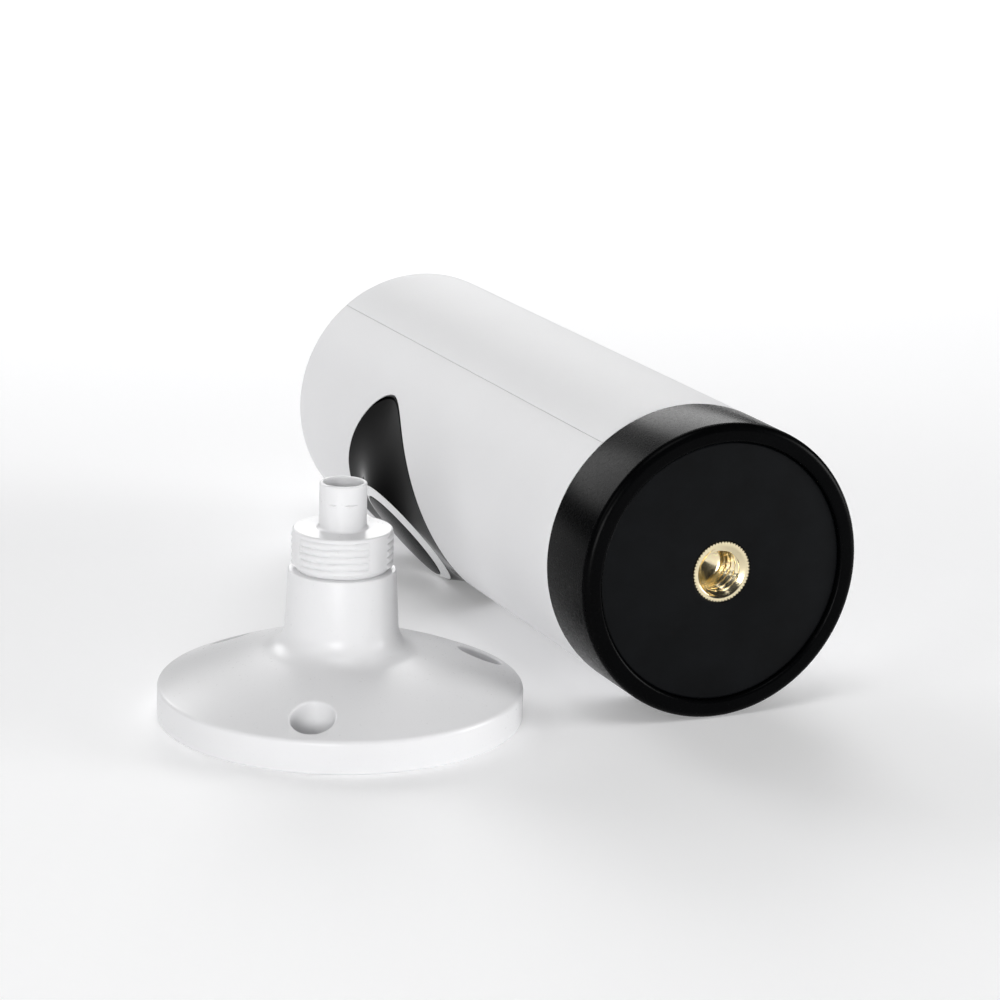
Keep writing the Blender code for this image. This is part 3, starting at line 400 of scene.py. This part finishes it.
plastic_black = procedural("plastic_black", (0.02, 0.02, 0.022), 0.5, patch=7 * MM, shift=0.15,
                           grain=0.3 * MM, relief=0.008 * MM)
lens_black = procedural("lens_black", (0.01, 0.01, 0.011), 0.38, patch=2 * MM, shift=0.2,
                        grain=0.2 * MM, relief=0.006 * MM)
lens_coated = procedural("lens_coated", (0.5, 0.42, 0.62), 0.02, patch=3 * MM, shift=0.1, relief=0.0)
see_through(lens_coated, 0.7, 1.6)
red_pane = procedural("red_pane", (0.55, 0.08, 0.12), 0.04, relief=0.0)
see_through(red_pane, 0.8, 1.5)
clear_pane = procedural("clear_pane", (0.86, 0.92, 0.92), 0.03, relief=0.0)
see_through(clear_pane, 0.9, 1.5)
chip_black = procedural("chip_black", (0.018, 0.018, 0.02), 0.55, patch=2 * MM, shift=0.15,
                        grain=0.12 * MM, relief=0.004 * MM)
led_grey = procedural("led_grey", (0.62, 0.63, 0.66), 0.2, patch=0.8 * MM, shift=0.25,
                      grain=0.4 * MM, relief=0.002 * MM)
board_green = board_material("board_green", (0.012, 0.075, 0.03), (0.04, 0.16, 0.07))
board_black = board_material("board_black", (0.008, 0.008, 0.009), (0.03, 0.03, 0.03))


# ---- camera casing ------------------------------------------------------------------------------
def eye_outline(grow, radius, facets):
    """The eye's outline on a cylinder about the camera's axis, in the eye's frame."""
    points = []
    for a in turn(facets):
        power, reach = (EYE_UP_POWER, EYE_UP) if math.sin(a) >= 0 else (EYE_DOWN_POWER, EYE_DOWN)
        across = (EYE_HALF_W + grow) * math.copysign(abs(math.cos(a)) ** (2 / power), math.cos(a))
        up = (reach + grow) * math.copysign(abs(math.sin(a)) ** (2 / power), math.sin(a))
        angle = math.asin(across / BODY_R)
        points.append((radius * math.sin(angle), up, radius * math.cos(angle)))
    return points


def casing_point(angle, height):
    """Point of the shell's outside; angle 0 faces -Y, heights past the edge run round it."""
    edge = BODY_L - TOP_ROUND
    if height <= edge:
        return BODY_R * math.sin(angle), -BODY_R * math.cos(angle), height
    a = (height - edge) / TOP_ROUND
    radius = BODY_R - TOP_ROUND + TOP_ROUND * math.cos(a)
    return radius * math.sin(angle), -radius * math.cos(angle), edge + TOP_ROUND * math.sin(a)


def close_top(bm, angles, side):
    """Half disc that closes a shell's top, from its rounded edge to the seam; side 1 is the front."""
    round_steps, steps = 5, 24
    quarter = math.pi / 2 * TOP_ROUND
    edge = BODY_L - TOP_ROUND
    rows = [
        [bm.verts.new(casing_point(a, edge + quarter * s / round_steps)) for a in angles]
        for s in range(round_steps + 1)
    ]
    radius = BODY_R - TOP_ROUND
    seam = -side * SHADOW_GAP / 2
    for s in range(1, steps + 1):
        t = s / steps
        rows.append([
            bm.verts.new((radius * math.sin(a), -radius * math.cos(a) * (1 - t) + seam * t, BODY_L))
            for a in angles
        ])
    skin(bm, rows)


def thicken(bm):
    """Give the shell's outside an inner skin and close the edges between the two."""
    bmesh.ops.remove_doubles(bm, verts=bm.verts, dist=1e-7)
    inner = {}
    flat_r = BODY_R - TOP_ROUND
    for v in list(bm.verts):
        radius = math.hypot(v.co.x, v.co.y)
        share = SHELL_R / max(radius, flat_r)
        height = min(v.co.z, BODY_L - TOP_WALL)
        inner[v] = bm.verts.new((v.co.x * share, v.co.y * share, height))
    border = [e for e in bm.edges if len(e.link_faces) == 1]
    for face in list(bm.faces):
        bm.faces.new([inner[v] for v in reversed(face.verts)])
    for edge in border:
        a, b = edge.verts
        bm.faces.new((a, b, inner[b], inner[a]))
    bmesh.ops.remove_doubles(bm, verts=bm.verts, dist=1e-7)
    bmesh.ops.dissolve_degenerate(bm, edges=bm.edges, dist=1e-7)


def front_shell_mesh():
    """Front half of the casing, spread as loops from the eye's opening to the seam."""
    bm = bmesh.new()
    half = math.pi / 2 - SHADOW_GAP / 2 / BODY_R
    low, high = SHELL_BOTTOM - EYE_Z, BODY_L - TOP_ROUND - EYE_Z
    starts = [(math.atan2(x, z), y) for x, y, z in eye_outline(0.0, BODY_R, 4 * QUARTER)]
    ends = []
    for angle, up in starts:
        reach_side = half / abs(angle) if abs(angle) > 1e-9 else 1e9
        limit = high if up > 0 else low
        reach_end = limit / up if abs(up) > 1e-9 else 1e9
        share = min(reach_side, reach_end)
        ends.append((angle * share, up * share))
    for corner in ((half, high), (-half, high), (-half, low), (half, low)):
        heading = math.atan2(corner[1], corner[0] * BODY_R)
        nearest = min(range(len(ends)), key=lambda k: abs(math.remainder(
            math.atan2(starts[k][1], starts[k][0] * BODY_R) - heading, 2 * math.pi)))
        ends[nearest] = corner
    steps = 18
    rows = []
    for s in range(steps + 1):
        t = s / steps
        rows.append([
            bm.verts.new(casing_point(a0 + (a1 - a0) * t, EYE_Z + y0 + (y1 - y0) * t))
            for (a0, y0), (a1, y1) in zip(starts, ends)
        ])
    skin(bm, rows, closed=True)
    top = sorted(a for a, up in ends if abs(up - high) < 1e-9)
    close_top(bm, top, 1)
    thicken(bm)
    return bm


def rear_shell_mesh():
    """Rear half of the casing, in the camera's frame."""
    bm = bmesh.new()
    half = math.pi / 2 - SHADOW_GAP / 2 / BODY_R
    columns, levels = 2 * QUARTER, 60
    angles = [math.pi - half + 2 * half * k / columns for k in range(columns + 1)]
    edge = BODY_L - TOP_ROUND
    heights = [SHELL_BOTTOM + (edge - SHELL_BOTTOM) * k / levels for k in range(levels + 1)]
    rows = [[bm.verts.new(casing_point(a, z)) for a in angles] for z in heights]
    skin(bm, rows)
    close_top(bm, angles, -1)
    thicken(bm)
    return bm


def shell_cutter(name, width, height, corner, centre):
    """Cutter for an opening with a small even chamfer, shaped to the shell's round."""
    steps = 8
    half_w, half_h = width / 2 - corner, height / 2 - corner
    chamfer = 0.18 * MM

    def loop(grow, radius):
        """The opening's outline, grown by this much, on a cylinder of this radius."""
        points = []
        for quarter, (sx, sy) in enumerate(((1, 1), (-1, 1), (-1, -1), (1, -1))):
            for s in range(steps + 1):
                a = math.pi / 2 * (quarter + s / steps)
                x = sx * half_w + (corner + grow) * math.cos(a)
                y = sy * half_h + (corner + grow) * math.sin(a)
                points.append((x, y, math.sqrt(radius ** 2 - x ** 2)))
        return points

    deep = loop(0.0, SHELL_R - 2 * MM)
    loops = [[(0.0, 0.0, SHELL_R - 2.6 * MM)], deep, loop(0.0, BODY_R - chamfer)]
    loops += [loop(2 * chamfer, BODY_R + chamfer), [(0.0, 0.0, BODY_R + 3 * MM)]]
    return to_object(name, loft(loops), BACK @ Matrix.Translation((0.0, -centre, 0.0)))


def make_shells():
    """Both halves of the casing, the rear one with its openings."""
    front = to_object("front_shell_fine", front_shell_mesh(), CAMERA)
    soften(front, SOFT_EDGE)
    show(front, shell_white, "camera", ["front_shell"])

    rear = to_object("rear_shell_fine", rear_shell_mesh(), CAMERA)
    soften(rear, SOFT_EDGE)
    port_h = PORT_H + 2.8 * MM
    reset_w = 2 * RESET_R + 0.3 * MM
    mic_w = 1.1 * MM
    cutters = [
        shell_cutter("port_cut", PORT_W + 2.6 * MM, port_h, port_h / 2 - 0.4 * MM, PORT_Z),
        shell_cutter("reset_cut", reset_w, reset_w, RESET_R + 0.1 * MM, RESET_Z),
        shell_cutter("mic_cut", mic_w, mic_w, 0.54 * MM, MIC_Z),
    ]
    corner = GRILLE_SLOT_H / 2 - 0.02 * MM
    for k in range(GRILLE_SLOTS):
        offset = (k - (GRILLE_SLOTS - 1) / 2) * GRILLE_PITCH
        width = 2 * math.sqrt(GRILLE_R ** 2 - offset ** 2)
        cutters.append(shell_cutter(f"slot_cut_{k}", width, GRILLE_SLOT_H, corner, SPEAKER_Z - offset))
    carve(rear, *cutters)
    show(rear, shell_white, "camera", ["rear_shell"])


def make_base():
    """Black cap, matt pad in its recess and the knurled brass insert."""
    lip = 0.45 * MM
    back = PAD_STEP + 1.5 * MM
    corners = [
        (PAD_R, 0.0, lip), (PAD_R, back, 0.0), (INSERT_R + 0.3 * MM, back, 0.0),
        (INSERT_R + 0.3 * MM, back + 2 * MM, 0.0), (SHELL_R, back + 2 * MM, 0.0), (SHELL_R, CAP_L, 0.0),
        (BODY_R, CAP_L, 0.16 * MM), (BODY_R, 0.0, 1.15 * MM),
    ]
    cap = to_object("base_cap_fine", lathe(rounded(corners, 9), 4 * QUARTER), CAMERA)
    show(cap, cap_black, "camera", ["base_cap"])

    pad_r = PAD_R - 0.08 * MM
    bore = INSERT_R + 0.06 * MM
    corners = [
        (bore, PAD_STEP, 0.12 * MM), (bore, back - 0.1 * MM, 0.0), (pad_r, back - 0.1 * MM, 0.0),
        (pad_r, PAD_STEP, 0.35 * MM),
    ]
    pad = to_object("base_pad_fine", lathe(rounded(corners), 4 * QUARTER), CAMERA)
    show(pad, pad_black, "camera", ["base_pad"])

    show(to_object("tripod_insert_fine", insert_mesh(), CAMERA), brass_gold, "camera",
         ["tripod_insert"], sharp=40)


def insert_mesh():
    """Brass insert: knurled outside, chamfered mouth, inner thread and drilled bottom."""
    facets = 256
    edge_r = INSERT_R - 0.4 * MM

    def knurl(radius, height):
        """Toothed circle."""
        points = []
        for a in turn(facets):
            r = radius - KNURL_CUT * (1 - abs(math.cos(KNURL_TEETH * a / 2)))
            points.append((r * math.cos(a), r * math.sin(a), height))
        return points

    def thread(height):
        """Level cut through the inner thread."""
        points = []
        for a in turn(facets):
            phase = (height / TRIPOD_PITCH - a / (2 * math.pi)) % 1.0
            ridge = 1 - abs(2 * phase - 1)
            depth = 0.52 * MM * min(1.0, max(0.0, 1.35 * ridge - 0.15))
            r = INSERT_BORE_R + 0.4 * MM - depth
            points.append((r * math.cos(a), r * math.sin(a), height))
        return points

    low = PAD_STEP - 0.02 * MM
    mouth = INSERT_MOUTH_R - 0.05 * MM
    bottom = low + INSERT_DEPTH
    first = low + 0.3 * MM
    levels = 72
    back = low + INSERT_L
    loops = [[(0.0, 0.0, back)], ring(edge_r, back, facets), knurl(INSERT_R, back - 0.3 * MM)]
    loops += [knurl(INSERT_R, low + 0.05 * MM), knurl(INSERT_R - 0.03 * MM, low)]
    loops += [ring(edge_r, low, facets), ring(mouth + 0.06 * MM, low, facets)]
    loops += [ring(mouth, low + 0.05 * MM, facets)]
    loops += [thread(first + (bottom - first) * k / levels) for k in range(levels + 1)]
    loops += [ring(INSERT_BORE_R - 0.25 * MM, bottom + 0.1 * MM, facets)]
    loops += [ring(0.4 * MM, bottom + 1.25 * MM, facets), [(0.0, 0.0, bottom + 1.35 * MM)]]
    return loft(loops)


def swell(outer, inner, share):
    """A loop part of the way from outer to inner, raised towards the front."""
    rise = 1 - (1 - share) ** BEZEL_BULGE
    return [
        (a[0] + (b[0] - a[0]) * share, a[1] + (b[1] - a[1]) * share, a[2] + (b[2] - a[2]) * rise)
        for a, b in zip(outer, inner)
    ]


def make_eye():
    """Glossy black surround, white ring and dark glass."""
    facets = 4 * QUARTER
    bore = RING_R + 0.05 * MM
    sight = GLASS_R + 0.3 * MM
    foot = RING_EDGE - 5.5 * MM
    edge = 0.09 * MM
    loops = [eye_outline(-SHADOW_GAP, SHELL_R - 0.3 * MM, facets)]
    edge_steps, steps = 5, 32
    for s in range(edge_steps + 1):
        a = math.pi / 2 * s / edge_steps
        inset = SHADOW_GAP + edge * (1 - math.cos(a))
        loops.append(eye_outline(-inset, BODY_R - edge * (1 - math.sin(a)), facets))
    rim = loops[-1]
    front = ring(bore, RING_EDGE, facets)
    loops += [swell(rim, front, k / steps) for k in range(1, steps + 1)]
    loops += [ring(bore - 0.02 * MM, RING_EDGE - 0.05 * MM, facets)]
    loops += [ring(bore - 0.02 * MM, RING_EDGE - RING_DEPTH, facets)]
    loops += [ring(sight, RING_EDGE - RING_DEPTH - 0.3 * MM, facets)]
    loops += [ring(sight, foot, facets), ring(RING_R + 0.3 * MM, foot, facets)]
    bezel = to_object("eye_bezel_fine", loft(loops, closed=True), EYE)
    show(bezel, gloss_black, "camera", ["eye_bezel"])

    inner = GLASS_R + 0.04 * MM
    shelf = GLASS_FRONT - GLASS_T - 0.1 * MM
    back = RING_EDGE - RING_DEPTH + 0.05 * MM
    ring_r = RING_R - 0.02 * MM
    corners = [
        (ring_r, back, 0.0), (ring_r, RING_EDGE, 0.18 * MM),
        (inner, GLASS_FRONT + 0.02 * MM, 0.16 * MM), (inner, shelf, 0.0),
        (inner - 0.7 * MM, shelf, 0.0), (inner - 0.7 * MM, back, 0.0),
    ]
    white = to_object("eye_ring_fine", lathe(rounded(corners, 6), 2 * ROUND), EYE)
    show(white, ring_white, "camera", ["eye_ring"])

    glass_r = GLASS_R - 0.02 * MM
    low, high = GLASS_FRONT - GLASS_T, GLASS_FRONT - 0.04 * MM
    corners = [(0.0, low, 0.0), (glass_r, low, 0.0), (glass_r, high, 0.15 * MM), (0.0, high, 0.0)]
    glass = to_object("front_glass_fine", lathe(rounded(corners), 2 * ROUND), EYE)
    show(glass, glass_dark, "camera", ["front_glass"])


# ---- bracket ------------------------------------------------------------------------------------
def dome_height(radius):
    """Height of the flange's domed top at this radius."""
    return FLANGE_RIM + DOME_RISE * (1 - (radius / FLANGE_R) ** 2)


def flange_profile():
    """Outline of the flange with its soft rim, domed top and drafted stem."""
    edge = 0.75 * MM
    brow = 0.9 * FLANGE_R
    foot_r = STEM_R + STEM_FOOT_W
    lean = 2 * DOME_RISE * foot_r / FLANGE_R ** 2
    foot_z = dome_height(foot_r)
    knee_z = foot_z + lean * STEM_FOOT_W
    foot_top = knee_z + STEM_FOOT_H
    points = rounded([(0.0, 0.0, 0.0), (FLANGE_R, 0.0, 0.3 * MM), (FLANGE_R, FLANGE_RIM + 0.1 * MM, edge),
                      (brow, dome_height(brow), 0.0)], 8)
    dome_steps, foot_steps = 14, 16
    for k in range(1, dome_steps + 1):
        radius = brow + (foot_r - brow) * k / dome_steps
        points.append((radius, dome_height(radius)))
    for k in range(1, foot_steps + 1):
        t = k / foot_steps
        radius = (1 - t) ** 2 * foot_r + 2 * t * (1 - t) * STEM_R + t * t * STEM_R
        height = (1 - t) ** 2 * foot_z + 2 * t * (1 - t) * knee_z + t * t * foot_top
        points.append((radius, height))
    top = rounded([(STEM_R, foot_top, 0.0), (STEM_TOP_R, STEM_TOP, 0.22 * MM),
                   (SOCKET_R, STEM_TOP, 0.0), (SOCKET_R, SOCKET_FLOOR, 0.0), (0.0, SOCKET_FLOOR, 0.0)], 5)
    return points + top[1:]


def hole_cutter(name, angle):
    """Cutter for a screw hole with a soft counterbore whose mouth follows the flange's dome."""
    centre = (HOLE_RING * math.cos(angle), HOLE_RING * math.sin(angle))
    mouth = 0.3 * MM

    def loop(radius, drop):
        """Circle about the hole, lying this far below the dome."""
        points = []
        for a in turn(SMALL):
            x, y = centre[0] + radius * math.cos(a), centre[1] + radius * math.sin(a)
            points.append((x, y, dome_height(math.hypot(x, y)) - drop))
        return points

    def level(radius, height):
        """Level circle about the hole."""
        return [(centre[0] + x, centre[1] + y, z) for x, y, z in ring(radius, height, SMALL)]

    floor = COUNTERBORE_FLOOR
    loops = [[(*centre, -MM)], level(HOLE_R, -MM), level(HOLE_R, floor - 0.3 * MM)]
    loops += [level(HOLE_R + 0.09 * MM, floor - 0.08 * MM), level(HOLE_R + 0.3 * MM, floor)]
    loops += [level(COUNTERBORE_R - 0.4 * MM, floor + 0.1 * MM)]
    loops += [level(COUNTERBORE_R - 0.1 * MM, floor + 0.4 * MM)]
    steps = 6
    for k in range(steps + 1):
        t = math.radians(68) * k / steps
        loops.append(loop(COUNTERBORE_R + mouth * (1 - math.cos(t)), mouth * (1 - math.sin(t))))
    wide, peak = COUNTERBORE_R + 1.1 * mouth, dome_height(0.0)
    loops += [loop(wide, -0.16 * mouth), level(wide, peak), [(*centre, peak)]]
    return to_object(name, loft(loops), BRACKET)


def mark_cutter(name, angle, width):
    """Cutter for a short shallow moulding mark across the stud."""
    steps = 9
    reach = width / STUD_R
    z = STUD_TOP - MARK_DROP
    far = STUD_R + 0.2 * MM
    loops = []
    for k in range(steps):
        a = angle + reach * (k / (steps - 1) - 0.5)
        share = math.sin(math.pi * (k + 0.5) / steps)
        deep, half = STUD_R - MARK_DEPTH * share, 0.11 * MM * share
        loops.append([(r * math.cos(a), r * math.sin(a), z + h)
                      for r, h in ((deep, 0.0), (far, 3 * half), (far, -3 * half))])
    bm = loft(loops)
    bmesh.ops.holes_fill(bm, edges=bm.edges)
    return to_object(name, bm, BRACKET)


def make_bracket():
    """Flange with its stem and screw holes, threaded collar and hollow stud."""
    flange = to_object("bracket_flange_fine", lathe(flange_profile(), 4 * QUARTER), BRACKET)
    holes = [HOLE_TURN + 2 * math.pi * k / FLANGE_HOLES for k in range(FLANGE_HOLES)]
    carve(flange, *[hole_cutter(f"hole_cut_{k}", a) for k, a in enumerate(holes)])
    show(flange, bracket_white, "bracket", ["bracket_flange"])

    collar = to_object("bracket_collar_fine", collar_mesh(), BRACKET)
    show(collar, bracket_white, "bracket", ["bracket_collar"], sharp=45)

    foot = SOCKET_FLOOR + 0.6 * MM
    bore = STUD_R - STUD_WALL
    floor = STUD_TOP - STUD_BORE_DEPTH
    corners = [
        (0.0, foot, 0.0), (STUD_R, foot, 0.0), (STUD_R, STUD_TOP, 0.26 * MM),
        (bore, STUD_TOP, 0.22 * MM), (bore, floor, 0.5 * MM), (0.0, floor, 0.0),
    ]
    stud = to_object("bracket_stud_fine", lathe(rounded(corners, 8), ROUND), BRACKET)
    carve(stud, *[mark_cutter(f"mark_{k}", *mark) for k, mark in enumerate(STUD_MARKS)])
    show(stud, bracket_white, "bracket", ["bracket_stud"])


def thread_share(angle):
    """0 in the collar's plain bands, 1 on the threaded arcs, soft between."""
    apart = min(abs(math.remainder(angle - band, 2 * math.pi)) for band in PLAIN_BANDS)
    t = min(1.0, max(0.0, (apart - BAND_HALF) / math.radians(5) + 0.5))
    return t * t * (3 - 2 * t)


def collar_mesh():
    """Collar with rounded ridges on three arcs, an undercut below and a fillet to the stud."""
    facets = 4 * QUARTER
    shoulder = STEM_TOP + 0.03 * MM
    bore = STUD_R + 0.04 * MM
    plain_r = COLLAR_R - 0.14 * MM
    neck = COLLAR_R - 0.6 * MM
    under = shoulder + 0.7 * MM
    first = COLLAR_TOP - 0.62 * MM - THREAD_TURNS * THREAD_PITCH
    round_r = 0.3 * MM
    top_edge = COLLAR_TOP - round_r

    def band(height):
        """Level cut through the threaded part."""
        points = []
        for a in turn(facets):
            lift = THREAD_PITCH * (a / (2 * math.pi) - 0.5) * 0.35
            phase = (height - first - lift) / THREAD_PITCH
            relief = 0.0
            if 0.0 < phase < THREAD_TURNS:
                crest = math.sin(math.pi * (phase % 1.0)) ** 0.55
                relief = 0.14 * MM * crest - 0.2 * MM * (1 - crest)
            r = plain_r + relief * thread_share(a)
            points.append((r * math.cos(a), r * math.sin(a), height))
        return points

    levels = 96
    loops = [ring(bore, shoulder, facets), ring(neck - 0.1 * MM, shoulder, facets)]
    loops += [ring(neck, shoulder + 0.15 * MM, facets), ring(neck + 0.05 * MM, under - 0.2 * MM, facets)]
    loops += [band(under + (top_edge - under) * k / levels) for k in range(levels + 1)]
    round_steps, fillet_steps = 8, 6
    for s in range(1, round_steps + 1):
        a = math.pi / 2 * s / round_steps
        radius = plain_r - round_r * (1 - math.cos(a))
        loops.append(ring(radius, top_edge + round_r * math.sin(a), facets))
    fillet = 0.45 * MM
    for s in range(fillet_steps + 1):
        a = math.pi / 2 * s / fillet_steps
        height = COLLAR_TOP + fillet * (1 - math.cos(a))
        loops.append(ring(bore + fillet * (1 - math.sin(a)), height, facets))
    return loft(loops, closed=True)


# ---- pieces that keep their CAD shape -----------------------------------------------------------
def dress_inner_nodes():
    """Materials for the CAD nodes that no finer piece replaces."""
    finishes = {
        steel_grey: [name for name in nodes if name.startswith(("cap_screw_", "board_screw_"))],
        lens_black: ["lens_barrel"],
        lens_coated: ["lens_element"],
        plastic_black: ["lens_mount", "filter_frame", "filter_arm", "filter_motor", "chassis",
                        "reset_switch", "speaker"],
        board_green: ["sensor_board", "main_board", "antenna"],
        board_black: ["light_board"],
        chip_black: ["image_sensor", "light_sensor", "processor"],
        red_pane: ["ir_filter"],
        clear_pane: ["clear_filter"],
        led_grey: ["ir_light_left", "ir_light_right", "status_light"],
        sink_grey: ["heat_sink"],
        plated: ["radio_module", "power_inlet", "microphone"],
        shell_white: ["reset_button"],
    }
    for material, names in finishes.items():
        for name in names:
            slots = nodes[name].data.materials
            slots.clear()
            slots.append(material)


# ---- stage --------------------------------------------------------------------------------------
def make_floor():
    """Pale floor with painted shade, lighter towards the camera and where it runs away behind the object,
    and a painted glow.
    """
    material = procedural("floor_pale_painted_shade_and_glow", (0.9, 0.9, 0.905), 0.7, patch=0.3, shift=0.01, grain=2 * MM,
                          relief=0.02 * MM, shine=0.2)
    tree = material.node_tree
    shader = tree.nodes["Principled BSDF"]
    along = tree.nodes.new("ShaderNodeMapping")
    along.inputs["Rotation"].default_value = (0.0, 0.0, VIEW_HEADING)
    split = tree.nodes.new("ShaderNodeSeparateXYZ")
    reach = tree.nodes.new("ShaderNodeMapRange")
    reach.inputs["From Min"].default_value = FLOOR_SHADE_STRETCH[0]
    reach.inputs["From Max"].default_value = FLOOR_SHADE_STRETCH[1]
    # painted shade: the floor's colour is darkened in a band across the view at the object's distance; the
    # same tones tint its glow
    painted_shade = tree.nodes.new("ShaderNodeValToRGB")
    painted_shade.color_ramp.elements[0].color = (1.0, 1.0, 1.0, 1.0)
    painted_shade.color_ramp.elements[1].color = (1.0, 1.0, 1.0, 1.0)
    for share, tone in FLOOR_SHADE_TONES:
        painted_shade.color_ramp.elements.new(share).color = (tone, tone, tone * 1.005, 1.0)
    mix = tree.nodes.new("ShaderNodeMix")
    mix.data_type = "RGBA"
    mix.blend_type = "MULTIPLY"
    mix.inputs["Factor"].default_value = 1.0
    base = shader.inputs["Base Color"].links[0].from_socket
    place = tree.nodes["Texture Coordinate"].outputs["Object"]
    tree.links.new(place, along.inputs["Vector"])
    tree.links.new(along.outputs["Vector"], split.inputs["Vector"])
    tree.links.new(split.outputs["Y"], reach.inputs["Value"])
    tree.links.new(reach.outputs["Result"], painted_shade.inputs["Fac"])
    tree.links.new(base, mix.inputs["A"])
    tree.links.new(painted_shade.outputs["Color"], mix.inputs["B"])
    tree.links.new(mix.outputs["Result"], shader.inputs["Base Color"])
    tree.links.new(painted_shade.outputs["Color"], shader.inputs["Emission Color"])
    # painted glow: the floor gives off light, faint near the object and strong far from it
    far = tree.nodes.new("ShaderNodeVectorMath")
    far.operation = "LENGTH"
    painted_glow = tree.nodes.new("ShaderNodeMapRange")
    painted_glow.interpolation_type = "SMOOTHSTEP"
    painted_glow.inputs["From Min"].default_value = GLOW_CHANGE[0]
    painted_glow.inputs["From Max"].default_value = GLOW_CHANGE[1]
    painted_glow.inputs["To Min"].default_value = FLOOR_GLOW
    painted_glow.inputs["To Max"].default_value = FAR_GLOW
    tree.links.new(place, far.inputs[0])
    tree.links.new(far.outputs["Value"], painted_glow.inputs["Value"])
    tree.links.new(painted_glow.outputs["Result"], shader.inputs["Emission Strength"])
    bm = bmesh.new()
    bmesh.ops.create_grid(bm, x_segments=8, y_segments=8, size=FLOOR_HALF)
    floor = to_object("floor", bm, Matrix.Translation((0.0, 0.0, -0.02 * MM)))
    floor.data.materials.append(material)


def area_light(name, spot, aim, width, height, power):
    """Soft light at the spot that faces its aim; the camera doesn't see it."""
    data = bpy.data.lights.new(name, "AREA")
    data.shape = "RECTANGLE"
    data.size = width
    data.size_y = height
    data.energy = power
    light = bpy.data.objects.new(name, data)
    bpy.context.scene.collection.objects.link(light)
    light.location = spot
    light.rotation_euler = (aim - spot).to_track_quat("-Z", "Y").to_euler()
    light.visible_camera = False


def make_light():
    """Soft lights round the object, one over the floor behind it, and a faint even sky."""
    middle = Vector((0.025, 0.02, 0.02))
    for name, power, aside, above in SOFT_LIGHTS:
        turned, up = math.radians(aside) - VIEW_HEADING, math.radians(above)
        spoke = Vector((math.sin(turned) * math.cos(up), -math.cos(turned) * math.cos(up), math.sin(up)))
        area_light(name, middle + LIGHT_REACH * spoke, middle, LIGHT_SIDE, LIGHT_SIDE, power)
    behind = Vector((0.7, 1.5, 0.0))
    area_light("far_soft", behind + Vector((0.0, 0.0, 0.9)), behind, 2.4, 1.4, 12.0)
    world = bpy.data.worlds.new("studio")
    bpy.context.scene.world = world
    world.use_nodes = True
    sky = world.node_tree.nodes["Background"]
    sky.inputs["Color"].default_value = (1.0, 1.0, 1.0, 1.0)
    sky.inputs["Strength"].default_value = SKY_LIGHT


def make_camera():
    """The photo's own viewing angle."""
    data = bpy.data.cameras.new("view")
    data.lens = VIEW_LENS
    data.sensor_width = 36.0
    data.clip_start = 0.02
    data.clip_end = 20.0
    camera = bpy.data.objects.new("view", data)
    bpy.context.scene.collection.objects.link(camera)
    heading = Matrix.Rotation(-VIEW_HEADING, 4, "Z")
    pitch = Matrix.Rotation(VIEW_PITCH, 4, "X")
    roll = Matrix.Rotation(VIEW_ROLL, 4, "Z")
    camera.matrix_world = Matrix.Translation(VIEW_SPOT) @ heading @ pitch @ roll
    bpy.context.scene.camera = camera


make_camera()
make_floor()
make_light()
make_shells()
make_base()
make_eye()
make_bracket()
dress_inner_nodes()

bpy.context.scene.view_settings.view_transform = "Standard"
